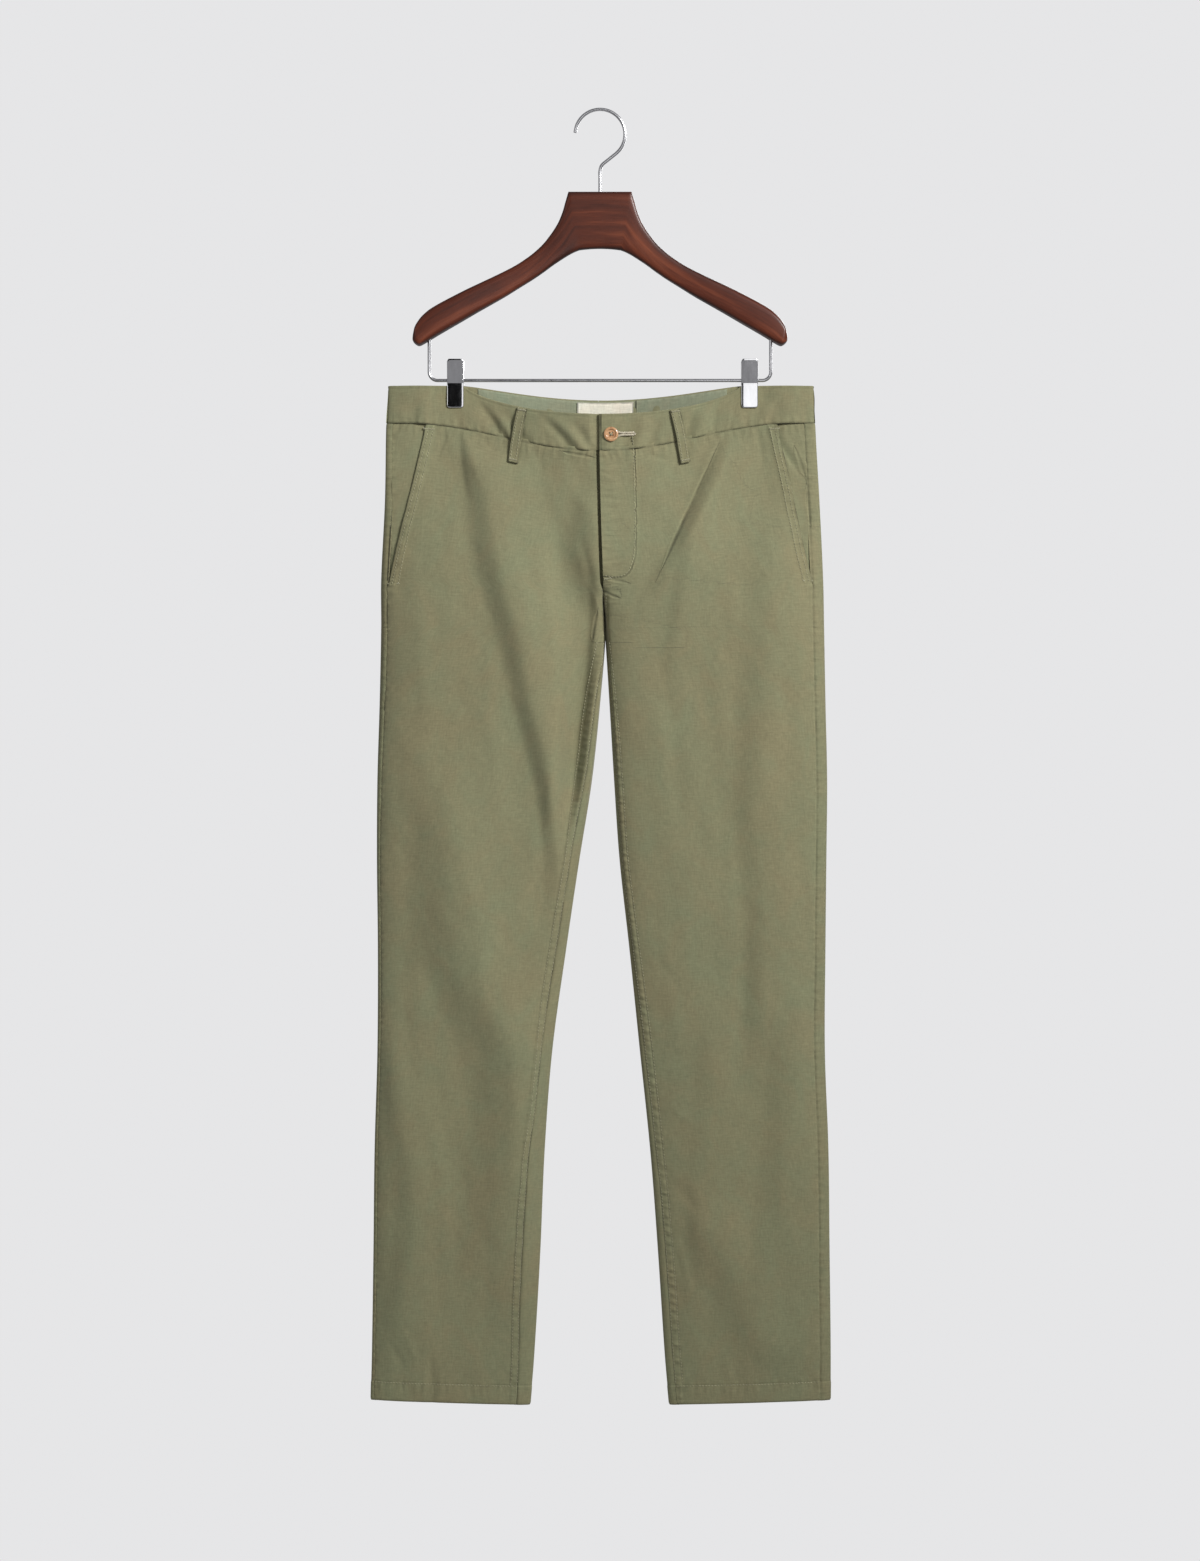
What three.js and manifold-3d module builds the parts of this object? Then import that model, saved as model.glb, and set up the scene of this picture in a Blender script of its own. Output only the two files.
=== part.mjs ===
// Slim chino trousers hanging flat from a wooden hanger with two spring clips on a wire bar.
// Millimetres. +Z is up, +X is the wearer's left, and the front of the trousers faces -Y.
// The origin is the top of the inside of the hanger's hook, where a rail carries it.
// The legs are hollow tubes of cloth. Every cloth piece is a thin wall on one shared surface:
// "drop" is the distance below the waist's top edge, and an angle runs round each leg's section
// from the outer edge (0) over the back to the inner edge (PI), and on over the front.
import * as THREE from "three";
import Module from "manifold-3d";
import { mergeVertices } from "three/addons/utils/BufferGeometryUtils.js";

const wasm = await Module();
wasm.setup();

// Driving sizes of the garment
const WAIST_TOP_Z = -291.5;
const HEM_DROP = 1074;
const HEM_TILT = 5; // the inseam end of each hem hangs this much lower than the outseam end
const CROTCH_DROP = 256.5;
const BAND_HEIGHT = 40;
const SEAM_GAP = 0.4;
const CLOTH = 1.2; // wall of a single-layer panel
const BAND_CLOTH = 2; // wall of the doubled waistband
const LAYER_GAP = 0.4; // air between two layers that lie on each other

// Section shape
const LENS_POWER = 3.4; // above 2 gives a flattened tube with fuller edges
const CLIP_X = { right: -153.2, left: 158.5 };
const CLIP_HALF_WIDTH = 8;
const PINCH = 2.6; // half depth of the two layers where a clip holds them
const SIDE_BELLY = 3; // extra half depth of the folded ends outside the clips
const BELLY = { front: 15, back: 17 }; // extra half depth midway between the clips
// How far the top edge sinks midway between the clips, and the power that shapes the dip
const SAG = { front: { depth: 31, power: 0.72 }, back: { depth: 13.5, power: 1.25 } };
const SEAM_SAG = { front: 30, back: 14, halfWidth: 205 }; // the waist seam sinks over a wider span
const EDGE_ROUND = 8; // distance over which the folded side of the waist rounds off

// Outline of the garment, one row for each section: the outer and inner edge of each leg,
// and the half depths of its front and back
const COLUMNS = ["drop", "rightOuter", "rightInner", "leftInner", "leftOuter", "front", "back"];
const OUTLINE = [
  [0, -224.2, -1.6, -1.6, 226.3, 16, 19],
  [47, -225.8, -1, -1, 227.5, 17, 21],
  [121, -227, 0.6, 0.6, 231.6, 19, 25],
  [206, -231, 3.2, 3.2, 235.6, 22, 29],
  [256.5, -231, 5.2, 6, 236.6, 23, 29],
  [333, -232.5, -0.5, 10.8, 238, 21, 25],
  [418, -235, -9.5, 15.9, 239.8, 19, 21],
  [502, -235.5, -22.8, 21.7, 239, 17, 19],
  [598, -234.5, -37, 32.3, 238, 15.5, 17],
  [704, -235, -51.5, 43.2, 237.4, 14, 16],
  [810, -238, -59.6, 54.2, 241.2, 13, 14.5],
  [916, -239.2, -64.2, 62.4, 242.4, 12, 13],
  [1022, -240.8, -70.6, 69.6, 243.6, 10.5, 11],
  [1080, -242.2, -75.4, 74.8, 243.4, 9.5, 9.5],
];

// Largest folds: a ridge, or a trough below 0, whose crest runs through [drop, x] places, steep on its left
const FOLDS = [
  {
    face: "front", height: 9, left: 42, right: 48, taper: 0.35,
    path: [
      [-60, -140], [50, -133], [68, -127], [121, -114], [174, -107], [227, -94], [280, -81], [333, -71],
      [386, -57],
      [439, -48], [492, -43], [545, -44], [600, -50],
    ],
  },
  {
    face: "front", height: -8, left: 28, right: 24, taper: 0.5,
    path: [
      [90, -43], [160, -41], [200, -37], [238, -31], [280, -28], [333, -29], [386, -29], [439, -32],
      [500, -37],
    ],
  },
  {
    face: "front", height: 3.4, left: 24, right: 14, taper: 1,
    path: [[70, -12], [130, -8], [170, -4], [205, 0], [245, 2]],
  },
  {
    face: "front", height: 10.5, left: 60, right: 44, taper: 1,
    path: [
      [340, -162], [418, -158], [471, -153], [524, -148], [598, -141], [651, -119], [704, -93],
      [757, -88], [810, -92], [863, -95], [926, -97], [1020, -100],
    ],
  },
  {
    face: "front", height: 4.2, left: 26, right: 32, taper: 1,
    path: [[670, -222], [730, -214], [810, -202], [863, -195], [916, -197], [969, -206], [1040, -214]],
  },
  {
    face: "front", height: 6, left: 24, right: 34, taper: 1.1,
    path: [[-40, 152], [36, 141], [54, 134], [94, 120], [111, 114], [140, 100], [170, 86], [200, 72],
      [255, 52]],
  },
  {
    face: "front", height: 2.6, left: 18, right: 26, taper: 1,
    path: [[110, 107], [178, 96], [230, 88], [320, 77]],
  },
  {
    face: "front", height: 4, left: 34, right: 34, taper: 1,
    path: [[110, 190], [170, 186], [230, 182], [310, 176], [400, 172], [500, 170]],
  },
  {
    face: "front", height: 1.4, left: 26, right: 34, taper: 1,
    path: [[300, 58], [370, 66], [500, 80], [640, 102]],
  },
  {
    face: "front", height: 3.6, left: 26, right: 34, taper: 1,
    path: [[380, 160], [450, 166], [520, 172], [600, 176], [760, 176]],
  },
  {
    face: "front", height: 2.8, left: 28, right: 34, taper: 1,
    path: [[600, 212], [720, 202], [860, 190], [1010, 172]],
  },
  {
    face: "front", height: 5, left: 44, right: 38, taper: 1,
    path: [[850, 112], [916, 130], [969, 154], [1022, 178], [1056, 190]],
  },
  {
    face: "front", height: 2.6, left: 26, right: 32, taper: 1,
    path: [[620, 128], [740, 122], [860, 116], [980, 104]],
  },
  {
    face: "back", height: -6, left: 26, right: 17, taper: 1,
    path: [[60, -140], [210, -97], [360, -30]],
  },
  {
    face: "back", height: -6, left: 28, right: 18, taper: 1,
    path: [[60, 146], [215, 105], [370, 40]],
  },
  {
    face: "back", height: -4.5, left: 25, right: 16, taper: 1,
    path: [[240, -40], [430, -72], [620, -120]],
  },
  {
    face: "back", height: -4.5, left: 25, right: 16, taper: 1,
    path: [[245, 50], [452, 80], [660, 128]],
  },
  {
    face: "back", height: 3.5, left: 28, right: 24, taper: 1,
    path: [[480, -186], [730, -171], [980, -136]],
  },
  {
    face: "back", height: 3.5, left: 28, right: 24, taper: 1,
    path: [[520, 200], [765, 177], [1010, 136]],
  },
];
const FOLD_EDGE_FADE = 16; // folds die out over this distance from a leg's edges

// Seams that roll from the edge on to the front, and the slanted pocket mouths
const INSEAM_ROLL = {
  right: [
    [256, 0], [333, 6.4], [439, 8.5], [545, 8.5], [651, 9.5], [757, 11.2], [810, 14.8],
    [863, 16], [916, 17], [969, 17], [1022, 15], [1075, 13],
  ],
  left: [[256, 0], [333, 3], [439, 4], [757, 4.2], [810, 4.7], [863, 6], [969, 6.6], [1075, 6.5]],
};
const OUTSEAM_ROLL = { right: { high: 5, low: 1.5 }, left: { high: 10, low: 9.5 } };
const POCKET = {
  right: { topX: -184.5, bottomX: -224.5, bottomDrop: 214 },
  left: { topX: 188, bottomX: 225, bottomDrop: 211 },
};
const POCKET_UNDERLAP = 9;

// Fly and waist fastening
const FLY_BOTTOM = 205;
const FLY_SLIT = { right: 2.5, left: 0.6 }; // each front's edge from the centre line
const FLY_SHIELD = { from: -9, to: 34, drop: 211, hook: 26 };
const UNDERLAP_END = 33;
const BUTTON = { x: 11.7, drop: 22.5, radius: 7.6, thick: 3.2, hole: 0.9, holeRing: 2 };

// Belt loops: front ones lean as they hang, back ones stand straight
const LOOP = { width: 10.5, thick: 1.6, top: 1.5, bottom: 65, slack: 2 };
const LOOPS = [
  { name: "belt_loop_front_right", face: "front", topX: -81.5, bottomX: -91 },
  { name: "belt_loop_front_left", face: "front", topX: 78.5, bottomX: 89.5 },
  { name: "belt_loop_back_right", face: "back", topX: -106, bottomX: -109 },
  { name: "belt_loop_back_left", face: "back", topX: 110, bottomX: 113 },
  { name: "belt_loop_back_centre", face: "back", topX: 1, bottomX: 1 },
];
const FACING = { from: -131, to: 136, top: 1.5, bottom: 38, thick: 0.8 };
const LABEL = { from: -24.5, to: 36, top: 3, bottom: 31, thick: 0.6 };
const HEM_HEIGHT = 16;

// Grid sizes
const PANEL_ROWS = 30;
const FRONT_COLUMNS = 15;
const BACK_COLUMNS = 19;
const HEM_COLUMNS = 36;

const COLOURS = {
  chino: 0x86886a,
  facing: 0x8d947c,
  label: 0xe4e0d0,
  horn: 0xb5814f,
  wood: 0x6b3423,
  chrome: 0xc9c9cb,
};

const clamp = (value, low, high) => Math.min(high, Math.max(low, value));
const mix = (a, b, share) => a + (b - a) * share;
const smooth = (from, to, value) => {
  const share = clamp((value - from) / (to - from), 0, 1);
  return share * share * (3 - 2 * share);
};

// A smooth line through [place, value] knots: cubic pieces whose slopes are those of the neighbours
function through(knots, at) {
  let i = 0;
  while (i < knots.length - 2 && at > knots[i + 1][0]) i += 1;
  const slope = (k) => {
    const before = knots[Math.max(0, k - 1)];
    const after = knots[Math.min(knots.length - 1, k + 1)];
    return (after[1] - before[1]) / (after[0] - before[0]);
  };
  const [start, first] = knots[i];
  const [end, last] = knots[i + 1];
  const step = end - start;
  const s = clamp((at - start) / step, 0, 1);
  return (
    first * (1 + 2 * s) * (1 - s) ** 2 +
    last * s * s * (3 - 2 * s) +
    step * (slope(i) * s * (1 - s) ** 2 + slope(i + 1) * s * s * (s - 1))
  );
}

// A column of the outline at a drop
const OUTLINE_LINES = Object.fromEntries(
  COLUMNS.map((column, i) => [column, OUTLINE.map((row) => [row[0], row[i]])]),
);
const outline = (column, drop) => through(OUTLINE_LINES[column], drop);

const outerX = (side, drop) => outline(side + "Outer", drop);
const centreX = (drop) => outline("rightInner", Math.min(drop, 206)) + smooth(206, CROTCH_DROP, drop) * 2.4;
const innerX = (side, drop) => (drop < CROTCH_DROP ? centreX(drop) : outline(side + "Inner", drop));
const away = (side) => (side === "left" ? 1 : -1);
const openness = (drop) => 1 - smooth(CROTCH_DROP - 95, CROTCH_DROP + 2, drop);

// The place of x between the clips, from -1 at the right one to 1 at the left one
function betweenClips(x) {
  const from = CLIP_X.right + CLIP_HALF_WIDTH + 1.5;
  const to = CLIP_X.left - CLIP_HALF_WIDTH - 1.5;
  return clamp((2 * x - from - to) / (to - from), -1, 1);
}

// Half depth at the waist: pinched at the clips, bellied between them and a little outside them
function waistDepth(face, side, x, drop, inset) {
  const fromTip = Math.abs(x - outerX(side, drop)) - Math.max(inset, 0);
  const tip = Math.sqrt(1 - (1 - clamp(fromTip / EDGE_ROUND, 0, 1)) ** 2.5);
  const clipEdge = CLIP_X[side] + away(side) * (CLIP_HALF_WIDTH + 1.5);
  const outside = clamp((x - clipEdge) / (outerX(side, drop) - clipEdge), 0, 1);
  const between = Math.cos((betweenClips(x) * Math.PI) / 2) ** 2;
  const belly = BELLY[face] * between + SIDE_BELLY * Math.sin(outside * Math.PI) ** 2;
  return (PINCH - inset) * tip + belly;
}

// Half depth from the hips down: a half lens, open at the centre line, and a whole one below the crotch
function legDepth(face, share, drop, inset) {
  const closed = Math.sqrt(Math.max(0, 1 - Math.abs(2 * share - 1) ** LENS_POWER));
  const open = Math.sqrt(Math.max(0, 1 - (1 - share) ** LENS_POWER));
  return (outline(face, drop) - inset) * mix(closed, open, openness(drop));
}

// Height of all the folds of a face at a place, which dies out near a leg's edges
function foldHeight(face, side, x, drop) {
  const inner = mix(Math.abs(x - innerX(side, drop)), 99, openness(drop));
  const edge = Math.min(Math.abs(x - outerX(side, drop)), inner);
  let total = 0;
  for (const fold of FOLDS) {
    const first = fold.path[0][0];
    const along = (drop - first) / (fold.path.at(-1)[0] - first);
    if (fold.face !== face || along <= 0 || along >= 1) continue;
    const away = (x - through(fold.path, drop)) / mix(1, fold.taper, along);
    const steep = smooth(-fold.left, 0, away);
    const gentle = Math.exp(-((away / fold.right) ** 2));
    const length = smooth(0, 0.25, along) * (1 - smooth(0.75, 1, along));
    total += fold.height * length * (away < 0 ? steep : gentle);
  }
  return total * smooth(0, FOLD_EDGE_FADE, edge) * smooth(BAND_HEIGHT, BAND_HEIGHT + 40, drop);
}

// A point of a leg's section. The angle runs from the outer edge over the back to the inner edge, and on over
// the front; inset is how far inside the outer surface the point lies, and is negative outside it.
function around(side, angle, drop, inset) {
  const face = Math.sin(angle) >= 0 ? "back" : "front";
  const share = (1 - Math.cos(angle)) / 2;
  const shrink = away(side) * inset;
  const from = outerX(side, drop) - shrink;
  const to = innerX(side, drop) + shrink * (1 - openness(drop));
  const x = mix(from, to, share);
  const hung = smooth(BAND_HEIGHT + 4, 190, drop);
  const depth = mix(waistDepth(face, side, x, drop, inset), legDepth(face, share, drop, inset), hung);
  const half = depth + foldHeight(face, side, x, drop);
  const topSag = SAG[face].depth * (1 - betweenClips(x) ** 2) ** SAG[face].power;
  const seamSag = SEAM_SAG[face] * Math.cos((clamp(x / SEAM_SAG.halfWidth, -1, 1) * Math.PI) / 2) ** 2;
  const sag = mix(topSag, seamSag, smooth(0, BAND_HEIGHT, drop)) * (1 - smooth(BAND_HEIGHT, 300, drop));
  const tilt = HEM_TILT * share * smooth(0.8 * HEM_DROP, HEM_DROP, drop);
  return [x, face === "back" ? half : -half, WAIST_TOP_Z - drop - sag - tilt];
}

// The angle, from 0 to PI, at which a leg's section has the place x
function angleOf(side, x, drop) {
  const share = (x - outerX(side, drop)) / (innerX(side, drop) - outerX(side, drop));
  return Math.acos(1 - 2 * clamp(share, 0, 1));
}

// A point above the crotch by its place across the garment
function across(face, x, drop, inset) {
  const side = x < centreX(drop) ? "right" : "left";
  const angle = angleOf(side, x, drop);
  return around(side, face === "back" ? angle : -angle, drop, inset);
}

// The turn of angle that is a given distance along the section
function turnOf(side, angle, drop, distance) {
  const step = 0.002;
  const a = around(side, angle - step, drop, 0);
  const b = around(side, angle + step, drop, 0);
  return (distance * 2 * step) / Math.hypot(b[0] - a[0], b[1] - a[1]);
}

// A closed wall between two grids of points that have the same rows and columns. A wall that loops joins
// its last column to its first.
function wall(outer, inner, loops = false) {
  const rows = outer.length;
  const columns = outer[0].length;
  const points = [...outer.flat(), ...inner.flat()];
  const at = (layer, r, c) => (layer * rows + r) * columns + (c % columns);
  const faces = [];
  const quad = (a, b, c, d) => faces.push(a, b, c, a, c, d);
  const spans = loops ? columns : columns - 1;
  for (let c = 0; c < spans; c += 1) {
    for (let r = 0; r < rows - 1; r += 1) {
      quad(at(0, r, c), at(0, r + 1, c), at(0, r + 1, c + 1), at(0, r, c + 1));
      quad(at(1, r, c), at(1, r, c + 1), at(1, r + 1, c + 1), at(1, r + 1, c));
    }
    quad(at(0, 0, c), at(0, 0, c + 1), at(1, 0, c + 1), at(1, 0, c));
    quad(at(0, rows - 1, c + 1), at(0, rows - 1, c), at(1, rows - 1, c), at(1, rows - 1, c + 1));
  }
  for (let r = 0; !loops && r < rows - 1; r += 1) {
    quad(at(0, r + 1, 0), at(0, r, 0), at(1, r, 0), at(1, r + 1, 0));
    const last = columns - 1;
    quad(at(0, r, last), at(0, r + 1, last), at(1, r + 1, last), at(1, r, last));
  }
  const geometry = new THREE.BufferGeometry();
  geometry.setAttribute("position", new THREE.Float32BufferAttribute(points.flat(), 3));
  geometry.setIndex(faces);
  return faceOut(geometry);
}

// Turns a closed geometry's faces round if they point inwards
function faceOut(geometry) {
  const index = geometry.index.array;
  const p = geometry.attributes.position;
  const [a, b, c] = [new THREE.Vector3(), new THREE.Vector3(), new THREE.Vector3()];
  let volume = 0;
  for (let i = 0; i < index.length; i += 3) {
    a.fromBufferAttribute(p, index[i]);
    b.fromBufferAttribute(p, index[i + 1]);
    c.fromBufferAttribute(p, index[i + 2]);
    volume += a.dot(b.cross(c));
  }
  for (let i = 0; volume < 0 && i < index.length; i += 3) {
    [index[i + 1], index[i + 2]] = [index[i + 2], index[i + 1]];
  }
  return geometry;
}

const shares = (count) => Array.from({ length: count + 1 }, (_, i) => i / count);

// A wall whose rows are drops and whose columns are worked out by column(share, drop, inset)
function clothWall(drops, columns, near, far, column, loops = false) {
  const layer = (inset) => drops.map((drop) => columns.map((share) => column(share, drop, inset)));
  return wall(layer(near), layer(far), loops);
}

const group = new THREE.Group();
group.name = "chino_trousers_on_hanger";

function add(name, geometry, colour, roughness = 0.9, metalness = 0) {
  const look = { color: colour, roughness, metalness, side: THREE.DoubleSide };
  const material = new THREE.MeshStandardMaterial(look);
  const mesh = new THREE.Mesh(geometry, material);
  mesh.name = name;
  group.add(mesh);
  return mesh;
}

// Drops of a panel's rows: closer at the waist and the crotch, with a row at the pocket's end
function panelDrops(side) {
  const top = BAND_HEIGHT + SEAM_GAP;
  const marks = [top, 60, 84, 110, 136, 162, 186, POCKET[side].bottomDrop, 232, CROTCH_DROP, 280, 306];
  const rest = PANEL_ROWS - marks.length + 1;
  const last = marks[marks.length - 1];
  return [...marks, ...shares(rest).slice(1).map((share) => mix(last, HEM_DROP, share))];
}

function outseamAngle(side, drop) {
  const roll = mix(OUTSEAM_ROLL[side].high, OUTSEAM_ROLL[side].low, smooth(200, 560, drop));
  return angleOf(side, outerX(side, drop) - away(side) * roll, drop);
}

function inseamAngle(side, drop) {
  const roll = through(INSEAM_ROLL[side], drop);
  return angleOf(side, innerX(side, drop) + away(side) * roll, drop);
}

function pocketX(side, drop) {
  const mouth = POCKET[side];
  return mix(mouth.topX, mouth.bottomX, (drop - BAND_HEIGHT) / (mouth.bottomDrop - BAND_HEIGHT));
}

// A front: from the outseam or the pocket mouth to the fly's edge, the centre seam or the inseam
function frontPanel(side) {
  const columns = shares(FRONT_COLUMNS);
  return clothWall(panelDrops(side), columns, 0, CLOTH, (share, drop, inset) => {
    const seam = outseamAngle(side, drop);
    const mouth = drop < POCKET[side].bottomDrop ? angleOf(side, pocketX(side, drop), drop) : 0;
    const from = Math.max(seam, mouth);
    const slit = mix(FLY_SLIT[side], SEAM_GAP / 2, smooth(FLY_BOTTOM - 8, FLY_BOTTOM + 20, drop));
    const centre = angleOf(side, innerX(side, drop) + away(side) * slit, drop);
    const edge = drop < CROTCH_DROP ? centre : inseamAngle(side, drop);
    const start = from + turnOf(side, -from, drop, SEAM_GAP / 2);
    const end = drop < CROTCH_DROP ? edge : edge - turnOf(side, -edge, drop, SEAM_GAP / 2);
    return around(side, -mix(start, end, share), drop, inset);
  });
}

// A back: from the outseam round the outer edge, over the back, and round the inner edge to the inseam
function backPanel(side) {
  const columns = shares(BACK_COLUMNS);
  return clothWall(panelDrops(side), columns, 0, CLOTH, (share, drop, inset) => {
    const seam = outseamAngle(side, drop);
    const start = -seam + turnOf(side, -seam, drop, SEAM_GAP / 2);
    const centre = angleOf(side, innerX(side, drop) + (away(side) * SEAM_GAP) / 2, drop);
    const inseam = inseamAngle(side, drop);
    const wrapped = 2 * Math.PI - inseam - turnOf(side, -inseam, drop, SEAM_GAP / 2);
    const end = drop < CROTCH_DROP ? centre : Math.max(centre, wrapped);
    return around(side, mix(start, end, share), drop, inset);
  });
}

// The layer that shows behind a pocket mouth, from the outseam to under the front's edge
function pocketFacing(side) {
  const bottom = POCKET[side].bottomDrop - 6;
  const drops = shares(8).map((share) => mix(BAND_HEIGHT + SEAM_GAP, bottom, share));
  const behind = CLOTH + LAYER_GAP;
  return clothWall(drops, shares(5), 0, CLOTH, (share, drop, inset) => {
    const seam = outseamAngle(side, drop);
    const from = around(side, -seam - turnOf(side, -seam, drop, SEAM_GAP / 2), drop, 0)[0];
    const mouth = pocketX(side, drop);
    const x = mix(from, mouth - away(side) * POCKET_UNDERLAP, share);
    const shown = Math.abs(mouth - from);
    const sunk = behind * Math.max(smooth(0, 0.8 * shown, Math.abs(x - from)), 1 - smooth(4, 18, shown));
    return around(side, -angleOf(side, x, drop), drop, inset + sunk * mix(1, 1.5, smooth(120, bottom, drop)));
  });
}

// The left half of the waistband runs from the fly's edge round the side to the centre back seam. The right
// half sinks at the fly and goes on under the left one as the button's underlap.
function waistband(side) {
  const places = shares(30).map((share) => mix(-1, 1, share));
  const columns = places.map((place) => ({ place, under: 0 }));
  if (side === "right") {
    const sunk = BAND_CLOTH + LAYER_GAP;
    const underlap = [
      { x: UNDERLAP_END, under: sunk },
      { x: 17, under: sunk },
      { x: 0, under: sunk },
    ];
    columns.splice(0, 1, ...underlap, { x: -3, under: sunk }, { x: -11, under: 0 });
  }
  const drops = [0, BAND_HEIGHT / 2, BAND_HEIGHT];
  return clothWall(drops, columns, 0, BAND_CLOTH, (column, drop, inset) => {
    if (column.x !== undefined) return across("front", column.x, drop, inset + column.under);
    const edge = column.place < 0 && side === "left" ? FLY_SLIT.left : SEAM_GAP / 2;
    const most = angleOf(side, innerX(side, drop) + away(side) * edge, drop);
    return around(side, column.place * most, drop, inset);
  });
}

// The strip behind the fly, with a bottom corner that curves away
function flyShield() {
  const drops = panelDrops("right").filter((drop) => drop < FLY_SHIELD.drop);
  drops.push(FLY_SHIELD.drop - FLY_SHIELD.hook / 4, FLY_SHIELD.drop);
  const behind = CLOTH + 3 * LAYER_GAP;
  return clothWall(drops, shares(9), behind, behind + CLOTH, (share, drop, inset) => {
    const left = FLY_SHIELD.drop - drop;
    const curve = left < FLY_SHIELD.hook ? Math.sqrt(1 - (1 - left / FLY_SHIELD.hook) ** 2) : 1;
    const to = mix(8, FLY_SHIELD.to, curve);
    const sunk = inset + 2.5 * smooth(140, FLY_SHIELD.drop, drop);
    return across("front", mix(FLY_SHIELD.from, to, share), drop, sunk);
  });
}

function beltLoop(loop) {
  const drops = shares(8).map((share) => mix(LOOP.top, LOOP.bottom, share));
  const columns = [-0.5, 0, 0.5];
  const lift = (drop) => {
    const share = (drop - LOOP.top) / (LOOP.bottom - LOOP.top);
    return LAYER_GAP + LOOP.slack * Math.sin(share * Math.PI) ** 0.6;
  };
  return clothWall(drops, columns, LOOP.thick, 0, (place, drop, outward) => {
    const share = (drop - LOOP.top) / (LOOP.bottom - LOOP.top);
    const x = mix(loop.topX, loop.bottomX, share) + place * LOOP.width;
    return across(loop.face, x, drop, -lift(drop) - outward);
  });
}

function backFacing() {
  const near = BAND_CLOTH + LAYER_GAP;
  const drops = [FACING.top, (FACING.top + FACING.bottom) / 2, FACING.bottom];
  return clothWall(drops, shares(18), near, near + FACING.thick, (share, drop, inset) =>
    across("back", mix(FACING.from, FACING.to, share), drop, inset),
  );
}

function plainLabel() {
  const near = BAND_CLOTH + LAYER_GAP + FACING.thick + LAYER_GAP;
  const drops = [LABEL.top, (LABEL.top + LABEL.bottom) / 2, LABEL.bottom];
  return clothWall(drops, shares(5), near, near + LABEL.thick, (share, drop, inset) =>
    across("back", mix(LABEL.from, LABEL.to, share), drop, inset),
  );
}

// The hem's turned-up layer, a ring inside the foot of a leg
function hemTurnUp(side) {
  const near = CLOTH + LAYER_GAP;
  const drops = [HEM_DROP - HEM_HEIGHT, HEM_DROP - HEM_HEIGHT / 2, HEM_DROP - 0.2];
  const columns = shares(HEM_COLUMNS).slice(0, -1);
  return clothWall(
    drops,
    columns,
    near,
    near + CLOTH * 0.8,
    (share, drop, inset) => around(side, share * 2 * Math.PI, drop, inset),
    true,
  );
}

for (const side of ["right", "left"]) {
  add("front_" + side, frontPanel(side), COLOURS.chino);
  add("back_" + side, backPanel(side), COLOURS.chino);
  add("pocket_facing_" + side, pocketFacing(side), COLOURS.chino);
  add("waistband_" + side, waistband(side), COLOURS.chino);
  add("hem_turn_up_" + side, hemTurnUp(side), COLOURS.chino);
}
add("fly_shield", flyShield(), COLOURS.chino);
add("waistband_facing_back", backFacing(), COLOURS.facing);
add("neck_label_blank", plainLabel(), COLOURS.label);
for (const loop of LOOPS) add(loop.name, beltLoop(loop), COLOURS.chino);

// A geometry as a manifold solid, and back
function toSolid(geometry) {
  const bare = geometry.clone();
  bare.deleteAttribute("normal");
  bare.deleteAttribute("uv");
  const merged = mergeVertices(bare, 1e-4);
  const mesh = new wasm.Mesh({
    numProp: 3,
    vertProperties: new Float32Array(merged.attributes.position.array),
    triVerts: new Uint32Array(merged.index.array),
  });
  return new wasm.Manifold(mesh);
}

function toGeometry(solid) {
  const mesh = solid.getMesh();
  const geometry = new THREE.BufferGeometry();
  geometry.setAttribute("position", new THREE.BufferAttribute(new Float32Array(mesh.vertProperties), 3));
  geometry.setIndex(new THREE.BufferAttribute(new Uint32Array(mesh.triVerts), 1));
  return geometry;
}

function cutOut(body, tools) {
  return toGeometry(tools.reduce((left, tool) => left.subtract(toSolid(tool)), toSolid(body)));
}

// The waist button: a rimmed disc with four sewing holes, face to the front
function waistButton() {
  const { radius, thick } = BUTTON;
  const profile = [
    [0, 0],
    [radius * 0.82, 0],
    [radius, thick * 0.35],
    [radius, thick * 0.7],
    [radius * 0.88, thick],
    [radius * 0.68, thick * 0.92],
    [radius * 0.56, thick * 0.6],
    [0, thick * 0.6],
  ].map(([r, h]) => new THREE.Vector2(r, h));
  const disc = new THREE.LatheGeometry(profile, 28);
  const holes = [45, 135, 225, 315].map((degrees) => {
    const turn = THREE.MathUtils.degToRad(degrees);
    const hole = new THREE.CylinderGeometry(BUTTON.hole, BUTTON.hole, 4 * thick, 8);
    return hole.translate(BUTTON.holeRing * Math.cos(turn), 0, BUTTON.holeRing * Math.sin(turn));
  });
  return cutOut(disc, holes).rotateX(Math.PI);
}

const seat = across("front", BUTTON.x, BUTTON.drop, 0);
const button = add("waist_button", waistButton(), COLOURS.horn, 0.35);
button.position.set(seat[0], seat[1] - 0.35, seat[2]);

// Hanger sizes: x from the centre line and z from the hook's mount
const WIRE = 1.75;
const HOOK = { bend: 26.5, tipAngle: 176, neckAngle: -42, stemFoot: -104, stemTop: -64 };
const SOCKET_CLEARANCE = 0.3;
const WOOD = { thick: 13, bevel: 2, topZ: -85.9, topHalf: 33.5, endThicker: 0.9 };
const BAR = { z: -285.7, halfWidth: 181, corner: 9, top: -228 };
const CLIP = { width: 17.5, plate: 1.5, topZ: -263.5, bottomZ: -314.8, flare: 4.2, gripZ: -290 };

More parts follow.
